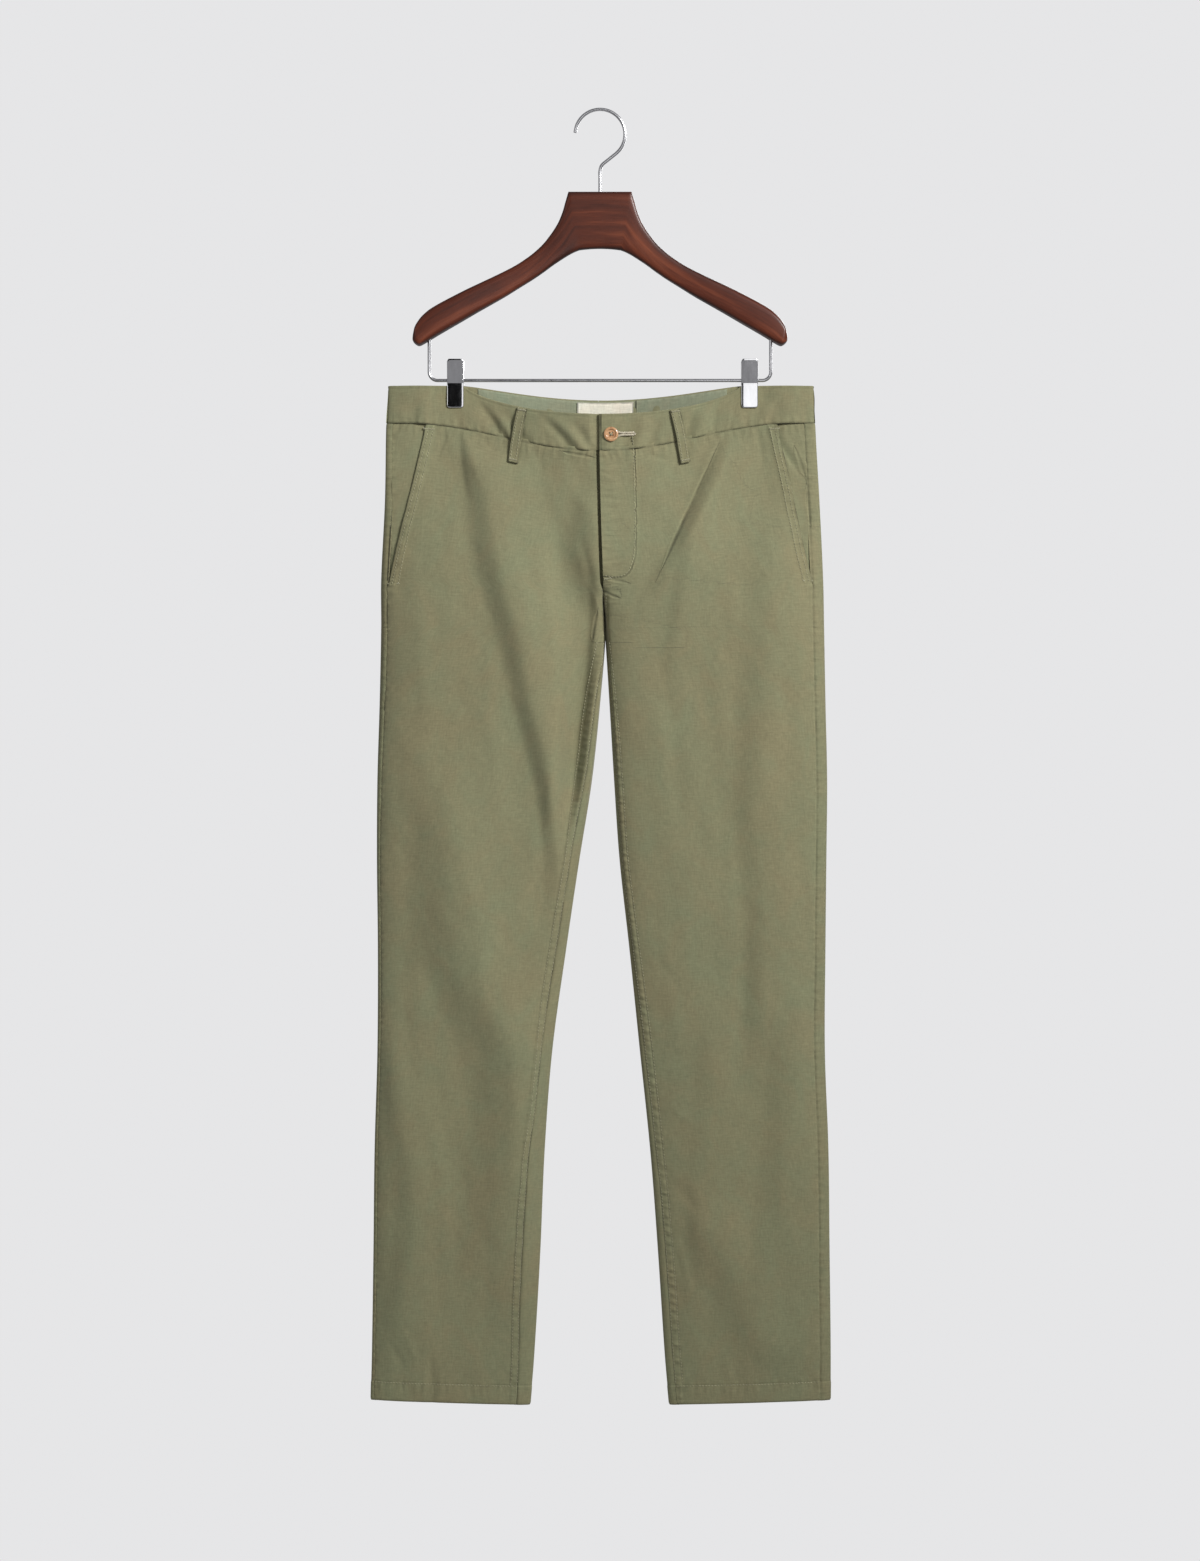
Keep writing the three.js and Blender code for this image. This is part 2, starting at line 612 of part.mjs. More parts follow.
// Half of the wooden body's outline, from the middle of the top edge round the arm to the middle below
function woodOutline() {
  const half = new THREE.Path();
  half.moveTo(0, WOOD.topZ);
  half.lineTo(WOOD.topHalf, WOOD.topZ);
  half.bezierCurveTo(42, -118, 56, -146, 88, -164);
  half.bezierCurveTo(118, -180, 158, -192, 181, -210);
  half.bezierCurveTo(194, -219, 202, -232, 200.5, -246);
  half.bezierCurveTo(199, -252, 190, -249, 184, -246);
  half.bezierCurveTo(140, -224, 104, -200, 66, -176);
  half.bezierCurveTo(44, -158, 24, -146, 0, -146);
  const points = half.getPoints(7);
  const mirrored = points
    .slice(1, -1)
    .reverse()
    .map((p) => new THREE.Vector2(-p.x, p.y));
  return new THREE.Shape([...points, ...mirrored]);
}

// The body is thin at the neck and grows thicker towards the shoulders
function woodBody() {
  const geometry = new THREE.ExtrudeGeometry(woodOutline(), {
    depth: WOOD.thick - 2 * WOOD.bevel,
    bevelThickness: WOOD.bevel,
    bevelSize: WOOD.bevel,
    bevelOffset: -WOOD.bevel,
    bevelSegments: 2,
    steps: 1,
  });
  geometry.translate(0, 0, WOOD.bevel - WOOD.thick / 2).rotateX(Math.PI / 2);
  const p = geometry.attributes.position;
  for (let i = 0; i < p.count; i += 1) {
    p.setY(i, p.getY(i) * (1 + WOOD.endThicker * smooth(50, 200, Math.abs(p.getX(i)))));
  }
  const drill = (x, z, length) => {
    const radius = WIRE + SOCKET_CLEARANCE;
    return new THREE.CylinderGeometry(radius, radius, length, 12).rotateX(Math.PI / 2).translate(x, 0, z);
  };
  const stemDepth = WOOD.topZ - HOOK.stemFoot + SOCKET_CLEARANCE;
  const barDepth = 40;
  const tools = [
    drill(0, WOOD.topZ - stemDepth / 2 + 10, stemDepth + 20),
    drill(-BAR.halfWidth, BAR.top + SOCKET_CLEARANCE - barDepth / 2, barDepth),
    drill(BAR.halfWidth, BAR.top + SOCKET_CLEARANCE - barDepth / 2, barDepth),
  ];
  return cutOut(geometry, tools);
}

// Bent wire: a round section carried along a curve in the plane of the hanger
function wire(points, steps, sides = 8) {
  const turns = shares(sides).slice(0, -1);
  const rim = turns.map((turn) => [WIRE * Math.cos(turn * 2 * Math.PI), WIRE * Math.sin(turn * 2 * Math.PI)]);
  const ring = new THREE.Shape(rim.map(([x, y]) => new THREE.Vector2(x, y)));
  const path = new THREE.CatmullRomCurve3(
    points.map(([x, z]) => new THREE.Vector3(x, 0, z)),
    false,
    "centripetal",
  );
  return new THREE.ExtrudeGeometry(ring, { steps, bevelEnabled: false, extrudePath: path });
}

// The hook: up from the wood, across to the right, and round the bend that hangs on the rail
function hookWire() {
  const centreZ = WIRE - HOOK.bend;
  const bend = shares(18).map((share) => {
    const turn = THREE.MathUtils.degToRad(mix(HOOK.neckAngle, HOOK.tipAngle, share));
    return [HOOK.bend * Math.cos(turn), centreZ + HOOK.bend * Math.sin(turn)];
  });
  const stem = [
    [0, HOOK.stemFoot],
    [0, (HOOK.stemFoot + HOOK.stemTop) / 2],
    [0, HOOK.stemTop],
    [2, HOOK.stemTop + 6.5],
    [9, HOOK.stemTop + 12.5],
  ];
  return wire([...stem, ...bend], 44);
}

// The bar: down from one arm, across under the hanger, and up into the other arm
function barWire() {
  const corner = (side) =>
    shares(4).map((share) => {
      const turn = (share * Math.PI) / 2;
      const x = BAR.halfWidth - BAR.corner + BAR.corner * Math.cos(turn);
      return [side * x, BAR.z + BAR.corner - BAR.corner * Math.sin(turn)];
    });
  const high = BAR.z + BAR.corner + 8;
  return wire(
    [
      [-BAR.halfWidth, BAR.top],
      [-BAR.halfWidth, high],
      ...corner(-1),
      [-BAR.halfWidth + BAR.corner + 3, BAR.z],
      [-BAR.halfWidth / 2, BAR.z],
      [0, BAR.z],
      [BAR.halfWidth / 2, BAR.z],
      [BAR.halfWidth - BAR.corner - 3, BAR.z],
      ...corner(1).reverse(),
      [BAR.halfWidth, high],
      [BAR.halfWidth, BAR.top],
    ],
    56,
  );
}

// A clip's plate: straight where it grips the waistband and flared above the bar. The way is -1 for the
// front plate and 1 for the back one.
function clipPlate(x, way) {
  const inner = PINCH + LAYER_GAP;
  const outer = inner + CLIP.plate;
  const profile = new THREE.Shape(
    [
      [inner, CLIP.bottomZ],
      [outer, CLIP.bottomZ],
      [outer, CLIP.gripZ],
      [outer + CLIP.flare, CLIP.topZ],
      [inner + CLIP.flare, CLIP.topZ],
      [inner, CLIP.gripZ],
    ].map(([y, z]) => new THREE.Vector2(way * y, z)),
  );
  const plate = new THREE.ExtrudeGeometry(profile, { depth: CLIP.width, bevelEnabled: false });
  plate.translate(0, 0, -CLIP.width / 2);
  plate.applyMatrix4(new THREE.Matrix4().set(0, 0, 1, x, 1, 0, 0, 0, 0, 1, 0, 0, 0, 0, 0, 1));
  return plate;
}

// A clip's spring, as a sleeve round the bar that carries both plates
function clipSpring(x) {
  const rise = (BAR.z - CLIP.gripZ) / (CLIP.topZ - CLIP.gripZ);
  const outer = PINCH + LAYER_GAP + CLIP.flare * rise - SOCKET_CLEARANCE;
  const inner = WIRE + SOCKET_CLEARANCE;
  const half = CLIP.width / 2 - 1.5;
  const profile = [
    [inner, -half],
    [outer, -half],
    [outer, half],
    [inner, half],
    [inner, -half],
  ].map(([r, h]) => new THREE.Vector2(r, h));
  return new THREE.LatheGeometry(profile, 16).rotateZ(Math.PI / 2).translate(x, 0, BAR.z);
}

add("hanger_body", woodBody(), COLOURS.wood, 0.35);
add("hanger_hook", hookWire(), COLOURS.chrome, 0.2, 1);
add("hanger_bar", barWire(), COLOURS.chrome, 0.2, 1);
for (const side of ["right", "left"]) {
  const x = CLIP_X[side];
  add(`clip_plate_front_${side}`, clipPlate(x, -1), COLOURS.chrome, 0.15, 1);
  add(`clip_plate_back_${side}`, clipPlate(x, 1), COLOURS.chrome, 0.15, 1);
  add(`clip_spring_${side}`, clipSpring(x), COLOURS.chrome, 0.25, 1);
}

export default group;
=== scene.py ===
"""Dresses the chino trousers and their clip hanger: cloth, seams, stitches, trim, wood, wire and the studio.

The garment's surface is one function. "Drop" is the distance in millimetres below the waist's top edge, and
an angle runs round each leg's section from the outer edge (0) over the back to the inner edge (pi), and on
over the front. Every cloth piece is a grid on that surface, raised by its creases, seams and folded edges.
"""

import logging
import math
from dataclasses import dataclass, field
from enum import Enum

import bpy
import numpy as np
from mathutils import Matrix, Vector


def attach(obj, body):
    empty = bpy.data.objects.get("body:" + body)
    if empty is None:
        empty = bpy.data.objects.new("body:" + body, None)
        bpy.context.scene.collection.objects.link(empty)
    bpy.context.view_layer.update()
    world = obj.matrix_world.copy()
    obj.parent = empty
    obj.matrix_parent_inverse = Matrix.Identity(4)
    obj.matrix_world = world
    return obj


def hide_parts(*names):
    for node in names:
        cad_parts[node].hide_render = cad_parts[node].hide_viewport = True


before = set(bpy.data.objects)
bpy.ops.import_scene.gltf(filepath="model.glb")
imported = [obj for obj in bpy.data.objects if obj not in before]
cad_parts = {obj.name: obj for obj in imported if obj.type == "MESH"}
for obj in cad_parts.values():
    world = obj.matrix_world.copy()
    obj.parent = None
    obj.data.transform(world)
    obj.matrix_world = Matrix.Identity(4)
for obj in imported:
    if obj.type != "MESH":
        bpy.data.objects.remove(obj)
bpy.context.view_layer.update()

FAR = 99.0  # mm, for a point that a seam doesn't reach
LOG = logging.getLogger("chinos")
BODY = "root"
LAYER_GAP = 0.4  # mm of air between two layers that lie on each other
MM = 0.001
Array = np.ndarray


class Side(Enum):
    """A side of the wearer, with the sign of its X direction."""

    RIGHT = -1
    LEFT = 1

    @property
    def word(self) -> str:
        """The side's name in the frame's node names."""
        return self.name.lower()


class Face(Enum):
    """A face of the garment, with the sign of its Y direction."""

    FRONT = -1
    BACK = 1


class Seam(Enum):
    """Seams and edges whose distance in mm each point of a cloth piece carries, where the cloth's material
    paints shade lines and pale stitch rows.
    """

    INSEAM = "to_inseam"
    OUTSEAM = "to_outseam"
    MOUTH = "to_mouth"
    FLY = "to_fly"
    CENTRE = "to_centre"
    HEM = "to_hem"
    BAND = "to_band"
    EDGE = "to_edge"
    CREASE = "to_crease"


class Lines(Enum):
    """The way that the puckers of a seam lie."""

    UPRIGHT = "pucker_upright"
    LEVEL = "pucker_level"


def mix(a: Array, b: Array, share: Array) -> Array:
    """The value that lies a share of the way from a to b."""
    return a + (b - a) * share


def smooth(start: float, end: float, value: Array) -> Array:
    """A soft step from 0 at start to 1 at end: 3 s^2 - 2 s^3."""
    s = np.clip((np.asarray(value, float) - start) / (end - start), 0.0, 1.0)
    return s * s * (3.0 - 2.0 * s)


def bell(distance: Array, width: float) -> Array:
    """A bell curve: exp(-(distance / width)^2)."""
    return np.exp(-((distance / width) ** 2))


def uneven(x: Array, z: Array, size: float, seed: int) -> Array:
    """Soft seeded noise between about -1 and 1.

    A lattice of seeded numbers, one each `size` mm, blended by soft steps in both directions.

    Args:
        x: places across, in mm.
        z: places along, in mm.
        size: the lattice's spacing in mm.
        seed: the seed of its numbers.

    Returns:
        The noise at each place.
    """
    table = np.random.default_rng(seed).uniform(-1.0, 1.0, (64, 64))
    u, v = x / size + 17.3, z / size + 41.7
    i, j = np.floor(u).astype(int), np.floor(v).astype(int)
    s, t = u - i, v - j
    s, t = s * s * (3 - 2 * s), t * t * (3 - 2 * t)
    near = mix(table[i % 64, j % 64], table[(i + 1) % 64, j % 64], s)
    far = mix(table[i % 64, (j + 1) % 64], table[(i + 1) % 64, (j + 1) % 64], s)
    return mix(near, far, t)


# ---- the garment's form ----

COLUMNS = ("drop", "right_outer", "right_inner", "left_inner", "left_outer", "front", "back")
OUTLINE = np.array([
    [0, -224.2, -1.6, -1.6, 226.3, 16, 19],
    [47, -225.8, -1.0, -1.0, 227.5, 17, 21],
    [121, -227, 0.6, 0.6, 231.6, 19, 25],
    [206, -231, 3.2, 3.2, 235.6, 22, 29],
    [256.5, -231, 5.2, 6, 236.6, 23, 29],
    [333, -232.5, -0.5, 10.8, 238, 21, 25],
    [418, -235, -9.5, 15.9, 239.8, 19, 21],
    [502, -235.5, -22.8, 21.7, 239, 17, 19],
    [598, -234.5, -37, 32.3, 238, 15.5, 17],
    [704, -235, -51.5, 43.2, 237.4, 14, 16],
    [810, -238, -59.6, 54.2, 241.2, 13, 14.5],
    [916, -239.2, -64.2, 62.4, 242.4, 12, 13],
    [1022, -240.8, -70.6, 69.6, 243.6, 10.5, 11],
    [1080, -242.2, -75.4, 74.8, 243.4, 9.5, 9.5],
])


def through(knots: Array, values: Array, at: Array) -> Array:
    """A smooth line through knots: cubic pieces whose slopes are those of the neighbours.

    Args:
        knots: the knots' places, rising.
        values: the values there.
        at: the places to work out.

    Returns:
        The line's values.
    """
    after = np.minimum(np.arange(len(knots)) + 1, len(knots) - 1)
    before = np.maximum(np.arange(len(knots)) - 1, 0)
    slopes = (values[after] - values[before]) / (knots[after] - knots[before])
    at = np.asarray(at, float)
    i = np.clip(np.searchsorted(knots, at) - 1, 0, len(knots) - 2)
    step = knots[i + 1] - knots[i]
    s = np.clip((at - knots[i]) / step, 0.0, 1.0)
    ends = values[i] * (1 + 2 * s) * (1 - s) ** 2 + values[i + 1] * s * s * (3 - 2 * s)
    return ends + step * (slopes[i] * s * (1 - s) ** 2 + slopes[i + 1] * s * s * (s - 1))


@dataclass(frozen=True)
class Fold:
    """A large fold down a face, as the solids have it: a ridge, or a trough where its height is below 0.

    Its crest runs through (drop, x) places. It is steep on its left side and gentle on its right one, and its
    widths change by the taper from top to bottom.
    """

    face: Face
    height: float
    left: float
    right: float
    taper: float
    path: tuple

    def raised(self, x: Array, drop: Array) -> Array:
        """The fold's height: a smooth step up on the left, a bell on the right, and both ends faded out."""
        drops, places = np.array(self.path, float).T
        along = np.clip((drop - drops[0]) / (drops[-1] - drops[0]), 0.0, 1.0)
        away = (x - through(drops, places, drop)) / mix(1.0, self.taper, along)
        profile = np.where(away < 0, smooth(-self.left, 0, away), bell(away, self.right))
        return self.height * smooth(0, 0.25, along) * (1 - smooth(0.75, 1, along)) * profile


F, B = Face.FRONT, Face.BACK
FOLDS = [
    Fold(F, 9.0, 42, 48, 0.35, ((-60, -140), (50, -133), (68, -127), (121, -114), (174, -107), (227, -94),
                                (280, -81),
                                (333, -71), (386, -57), (439, -48), (492, -43), (545, -44), (600, -50))),
    Fold(F, -8.0, 28, 24, 0.50, ((90, -43), (160, -41), (200, -37), (238, -31), (280, -28), (333, -29),
                                 (386, -29), (439, -32), (500, -37))),
    Fold(F, 3.4, 24, 14, 1.00, ((70, -12), (130, -8), (170, -4), (205, 0), (245, 2))),
    Fold(F, 10.5, 60, 44, 1.00, ((340, -162), (418, -158), (471, -153), (524, -148), (598, -141),
                                (651, -119), (704, -93), (757, -88), (810, -92), (863, -95), (926, -97),
                                (1020, -100))),
    Fold(F, 4.2, 26, 32, 1.00, ((670, -222), (730, -214), (810, -202), (863, -195), (916, -197),
                                (969, -206), (1040, -214))),
    Fold(F, 6.0, 24, 34, 1.10, ((-40, 152), (36, 141), (54, 134), (94, 120), (111, 114), (140, 100),
                                (170, 86),
                                (200, 72), (255, 52))),
    Fold(F, 2.6, 18, 26, 1.00, ((110, 107), (178, 96), (230, 88), (320, 77))),
    Fold(F, 4.0, 34, 34, 1.00, ((110, 190), (170, 186), (230, 182), (310, 176), (400, 172), (500, 170))),
    Fold(F, 1.4, 26, 34, 1.00, ((300, 58), (370, 66), (500, 80), (640, 102))),
    Fold(F, 3.6, 26, 34, 1.00, ((380, 160), (450, 166), (520, 172), (600, 176), (760, 176))),
    Fold(F, 2.8, 28, 34, 1.00, ((600, 212), (720, 202), (860, 190), (1010, 172))),
    Fold(F, 5.0, 44, 38, 1.00, ((850, 112), (916, 130), (969, 154), (1022, 178), (1056, 190))),
    Fold(F, 2.6, 26, 32, 1.00, ((620, 128), (740, 122), (860, 116), (980, 104))),
    Fold(B, -6.0, 26, 17, 1.00, ((60, -140), (210, -97), (360, -30))),
    Fold(B, -6.0, 28, 18, 1.00, ((60, 146), (215, 105), (370, 40))),
    Fold(B, -4.5, 25, 16, 1.00, ((240, -40), (430, -72), (620, -120))),
    Fold(B, -4.5, 25, 16, 1.00, ((245, 50), (452, 80), (660, 128))),
    Fold(B, 3.5, 28, 24, 1.00, ((480, -186), (730, -171), (980, -136))),
    Fold(B, 3.5, 28, 24, 1.00, ((520, 200), (765, 177), (1010, 136))),
    # finer than the solids have: the cloth drawn in beside the right inseam
    Fold(F, -6.5, 24, 8, 1.00, ((150, -22), (190, -15), (227, -12.7), (280, -15), (333, -20), (375, -26.5),
                                (418, -30), (471, -37), (540, -45))),
]


@dataclass(frozen=True)
class Crease:
    """A small crease, raised (or sunk, below 0) along a bowed line between two places of a face."""

    face: Face
    x0: float
    z0: float
    x1: float
    z1: float
    bow: float
    height: float
    width: float

    def raised(self, x: Array, z: Array) -> Array:
        """height sin(pi along)^0.7 exp(-(across / width)^2), along and across the line."""
        dx, dz = self.x1 - self.x0, self.z1 - self.z0
        length = math.hypot(dx, dz)
        ux, uz = dx / length, dz / length
        along = np.clip(((x - self.x0) * ux + (z - self.z0) * uz) / length, 0.0, 1.0)
        across = (z - self.z0) * ux - (x - self.x0) * uz - self.bow * 4 * along * (1 - along)
        return self.height * np.sin(along * math.pi) ** 0.7 * bell(across, self.width)


CREASES = [Crease(*row) for row in (
    # out of the right clip and under the waistband
    (F, -162, -334, -176, -372, 2, -0.9, 3.2),
    (F, -150, -336, -138, -420, -3, -1.4, 4.2),
    (F, -141, -340, -124, -400, -3, 1.0, 4.5),
    (F, -128, -345, -112, -362, 1, -0.7, 2.6),
    (F, -34, -360, -6, -366, -2, -0.9, 2.4),
    (F, -52, -357, -30, -372, 2, 0.6, 3.0),
    (F, -70, -352, -62, -392, 2, -0.8, 4.0),
    # beside the fly and at the crotch
    (F, -22, -452, -5, -520, 2, -0.8, 4.0),
    (F, -34, -430, -16, -540, 4, 0.6, 6.0),
    (F, -9, -505, 1, -556, 1, 0.9, 2.8),
    (F, 2, -509, 22, -504, -2, -0.8, 2.0),
    (F, 2, -522, 18, -511, 2, -0.7, 2.2),
    # out of the left clip
    (F, 134, -336, 64, -478, 3, -2.8, 2.3),
    (F, 141, -346, 82, -470, 4, 1.7, 4.5),
    (F, 98, -352, 72, -392, -2, -0.9, 3.0),
    (F, 48, -362, 74, -370, -2, -0.9, 2.4),
    (F, 166, -338, 172, -378, 2, -0.7, 3.0),
    (F, 189, -340, 219, -392, -2, -1.9, 2.6),
    (F, 196, -342, 224, -384, -2, 0.9, 3.0),
    # long soft ones down the legs
    (F, -196, -470, -184, -700, 4, 0.9, 10),
    (F, -120, -560, -96, -800, -4, 1.1, 9),
    (F, -62, -700, -70, -900, 5, -0.9, 8),
    (F, -150, -760, -122, -960, 6, 1.0, 8),
    (F, -204, -820, -196, -1080, -4, -0.9, 9),
    (F, -96, -960, -92, -1180, 5, 0.9, 9),
    (F, -182, -1040, -160, -1290, 6, 0.8, 8),
    (F, -118, -1130, -126, -1330, 4, -0.8, 8),
    (F, 60, -560, 84, -770, 5, -0.9, 8),
    (F, 122, -520, 150, -760, -6, 0.9, 10),
    (F, 190, -560, 204, -820, 5, -0.8, 9),
    (F, 66, -790, 88, -1010, -5, 0.9, 8),
    (F, 150, -820, 138, -1060, 6, -1.0, 9),
    (F, 208, -900, 196, -1130, 5, 0.8, 8),
    (F, 104, -1050, 112, -1290, -5, 0.8, 9),
    (F, 182, -1110, 172, -1320, 4, -0.8, 8),
    # out of the left inseam, and over both hems
    (F, 66, -1010, 112, -994, 1, -1.0, 3),
    (F, 73, -1135, 112, -1175, 2, -0.7, 4.5),
    (F, 74, -1118, 108, -1150, 2, 0.5, 7),
    (F, 70, -1054, 98, -1070, 1, 0.8, 4),
    (F, 82, -1192, 96, -1262, 2, 1.0, 5),
    (F, 60, -900, 84, -930, 1, -0.8, 4),
    (F, -225, -1302, -204, -1340, 1, -1.3, 4),
    (F, -180, -1308, -178, -1380, 1, -1.5, 4.5),
    (F, -206, -1296, -192, -1330, 1, 0.9, 4),
    (F, 226, -1296, 170, -1362, -2, -1.3, 5),
    (F, 132, -1310, 140, -1372, 1, 0.9, 6),
    (F, -60, -800, -84, -850, 2, -1.0, 5),
    (F, -78, -960, -104, -1010, 2, -0.9, 5),
    # behind
    (B, -150, -336, -60, -430, 5, -1.4, 5),
    (B, 156, -336, 66, -430, -5, -1.4, 5),
    (B, -18, -540, -110, -630, 5, -1.8, 6),
    (B, 24, -544, 118, -640, -5, -1.8, 6),
    (B, -30, -570, -96, -660, 4, 1.0, 6),
    (B, 36, -572, 100, -668, -4, 1.0, 6),
    (B, -200, -640, -150, -860, 5, 1.0, 9),
    (B, 204, -650, 160, -880, -5, 1.0, 9),
    (B, -120, -880, -150, -1140, 5, -1.0, 9),
    (B, 118, -900, 150, -1160, -5, -1.0, 9),
    (B, -190, -1060, -130, -1280, 5, 0.8, 8),
    (B, 190, -1080, 130, -1290, -5, 0.8, 8),
)]


# Crease lines that only the cloth's material draws: a dark line of painted shade along each, a painted
# highlight beside it, and a small bump.
CREASE_SHADE_LINES = (
    (128, -350, 58, -502),
    (-44, -361, -4, -369),
    (206, -352, 219, -392),
    (219, -392, 224, -444),
    (0, -494, 34, -502),
    (0, -508, 24, -518),
    (-3, -527, -9, -566),
)


@dataclass(frozen=True)
class GarmentForm:
    """The sizes of the trousers in mm, as the solids have them, and the surface that they give."""

    waist_top: float = -291.5
    hem_drop: float = 1074.0
    hem_tilt: float = 5.0
    crotch_drop: float = 256.5
    band: float = 40.0
    cloth: float = 1.2
    band_cloth: float = 2.0
    lens_power: float = 3.4
    clip_right: float = -153.2
    clip_left: float = 158.5
    clip_reach: float = 9.5
    pinch: float = 2.6
    side_belly: float = 3.0
    edge_round: float = 8.0
    fold_fade: float = 16.0
    inseam_right: tuple = ((256, 333, 439, 545, 651, 757, 810, 863, 916, 969, 1022, 1075),
                           (0, 6.4, 8.5, 8.5, 9.5, 11.2, 14.8, 16, 17, 17, 15, 13))
    inseam_left: tuple = ((256, 333, 439, 757, 810, 863, 969, 1075), (0, 3, 4, 4.2, 4.7, 6, 6.6, 6.5))
    pocket_bottom: tuple[float, float] = (214.0, 211.0)
    fly_bottom: float = 205.0
    fly_curve: tuple = ((35.5, -343.5), (36.6, -360), (37.4, -382.7), (38.0, -415), (38.2, -447.3),
                        (37.6, -468), (36.2, -478), (31.8, -489.7), (26.5, -494.2), (20.5, -496.2),
                        (13.5, -495.6), (7.4, -494.5))

    def edge(self, column: str, drop: Array) -> Array:
        """A column of the outline at a drop."""
        return through(OUTLINE[:, 0], OUTLINE[:, COLUMNS.index(column)], drop)

    def outer(self, side: Side, drop: Array) -> Array:
        """X of a leg's outer edge."""
        return self.edge(side.word + "_outer", drop)

    def centre(self, drop: Array) -> Array:
        """X of the line between the legs, above the crotch."""
        return self.edge("right_inner", np.minimum(drop, 206)) + smooth(206, self.crotch_drop, drop) * 2.4

    def inner(self, side: Side, drop: Array) -> Array:
        """X of a leg's inner edge, or of the centre line above the crotch."""
        return np.where(drop < self.crotch_drop, self.centre(drop), self.edge(side.word + "_inner", drop))

    def openness(self, drop: Array) -> Array:
        """1 where the two legs share one tube, and 0 below the crotch."""
        return 1 - smooth(self.crotch_drop - 95, self.crotch_drop + 2, drop)

    def between(self, x: Array) -> Array:
        """The place between the clips, from -1 at the right one to 1 at the left one."""
        start, end = self.clip_right + self.clip_reach, self.clip_left - self.clip_reach
        return np.clip((2 * x - start - end) / (end - start), -1.0, 1.0)

    def sag(self, face: Array, x: Array, drop: Array) -> Array:
        """How far the cloth sinks between the clips: narrow at the top edge, wider at the seam."""
        dip = 1 - self.between(x) ** 2
        top = np.where(face > 0, 13.5 * dip ** 1.25, 31.0 * dip ** 0.72)
        seam = np.where(face > 0, 14.0, 30.0) * np.cos(np.clip(x / 205.0, -1, 1) * math.pi / 2) ** 2
        return mix(top, seam, smooth(0, self.band, drop)) * (1 - smooth(self.band, 300, drop))

    def around(self, side: Side, angle: Array, drop: Array, inset: Array) -> Array:
        """Points of a leg's section, in mm.

        A section is a half lens above the crotch and a whole flattened lens below it:
        depth (1 - |2 share - 1|^3.4)^0.5, with share (1 - cos angle) / 2 from the outer to the inner edge. At
        the waist the two layers are pinched at the clips and bellied between them. The folds are added.

        Args:
            side: the leg.
            angle: the place round the section.
            drop: the distance below the waist's top edge.
            inset: how far inside the outer surface, or outside it below 0.

        Returns:
            The points, with x, y and z in the last axis.
        """
        angle, drop, inset = np.broadcast_arrays(*(np.asarray(v, float) for v in (angle, drop, inset)))
        face = np.where(np.sin(angle) >= 0, 1.0, -1.0)
        share = (1 - np.cos(angle)) / 2
        opened = self.openness(drop)
        shrink = side.value * inset
        start = self.outer(side, drop) - shrink
        end = self.inner(side, drop) + shrink * (1 - opened)
        x = mix(start, end, share)
        # at the waist
        from_tip = np.abs(x - self.outer(side, drop)) - np.maximum(inset, 0)
        tip = np.sqrt(1 - (1 - np.clip(from_tip / self.edge_round, 0, 1)) ** 2.5)
        clip = self.clip_left + self.clip_reach if side is Side.LEFT else self.clip_right - self.clip_reach
        outside = np.clip((x - clip) / (self.outer(side, drop) - clip), 0.0, 1.0)
        belly = np.where(face > 0, 17.0, 15.0) * np.cos(self.between(x) * math.pi / 2) ** 2
        belly = belly + self.side_belly * np.sin(outside * math.pi) ** 2
        waist = (self.pinch - inset) * tip + belly
        # from the hips down
        power = self.lens_power
        closed = np.sqrt(np.maximum(0, 1 - np.abs(2 * share - 1) ** power))
        half_open = np.sqrt(np.maximum(0, 1 - (1 - share) ** power))
        deep = np.where(face > 0, self.edge("back", drop), self.edge("front", drop))
        leg = (deep - inset) * mix(closed, half_open, opened)
        half = mix(waist, leg, smooth(self.band + 4, 190, drop)) + self.folds(side, face, x, drop)
        tilt = self.hem_tilt * share * smooth(0.8 * self.hem_drop, self.hem_drop, drop)
        z = self.waist_top - drop - self.sag(face, x, drop) - tilt
        return np.stack([x, face * half, z], axis=-1)

    def folds(self, side: Side, face: Array, x: Array, drop: Array) -> Array:
        """Height of all the large folds, which die out near a leg's edges and at the waistband."""
        inner = mix(np.abs(x - self.inner(side, drop)), 99.0, self.openness(drop))
        edge = np.minimum(np.abs(x - self.outer(side, drop)), inner)
        total = sum(np.where(face == fold.face.value, fold.raised(x, drop), 0.0) for fold in FOLDS)
        return total * smooth(0, self.fold_fade, edge) * smooth(self.band, self.band + 40, drop)

    def angle_of(self, side: Side, x: Array, drop: Array) -> Array:
        """The angle, from 0 to pi, at which a leg's section has the place x."""
        share = (x - self.outer(side, drop)) / (self.inner(side, drop) - self.outer(side, drop))
        return np.arccos(1 - 2 * np.clip(share, 0.0, 1.0))

    def turn(self, side: Side, angle: Array, drop: Array) -> Array:
        """The change of angle for each mm along the section."""
        step = 0.002
        apart = self.around(side, angle + step, drop, 0) - self.around(side, angle - step, drop, 0)
        return 2 * step / np.maximum(np.hypot(apart[..., 0], apart[..., 1]), 1e-6)

    def outseam(self, side: Side, drop: Array) -> Array:
        """The angle of the outseam, which has rolled a little on to the front."""
        high, low = (5.0, 1.5) if side is Side.RIGHT else (10.0, 9.5)
        roll = mix(high, low, smooth(200, 560, drop))
        return self.angle_of(side, self.outer(side, drop) - side.value * roll, drop)

    def inseam(self, side: Side, drop: Array) -> Array:
        """The angle of the inseam, which has rolled a little on to the front."""
        drops, rolls = np.array(self.inseam_right if side is Side.RIGHT else self.inseam_left, float)
        roll = through(drops, rolls, drop)
        return self.angle_of(side, self.inner(side, drop) + side.value * roll, drop)

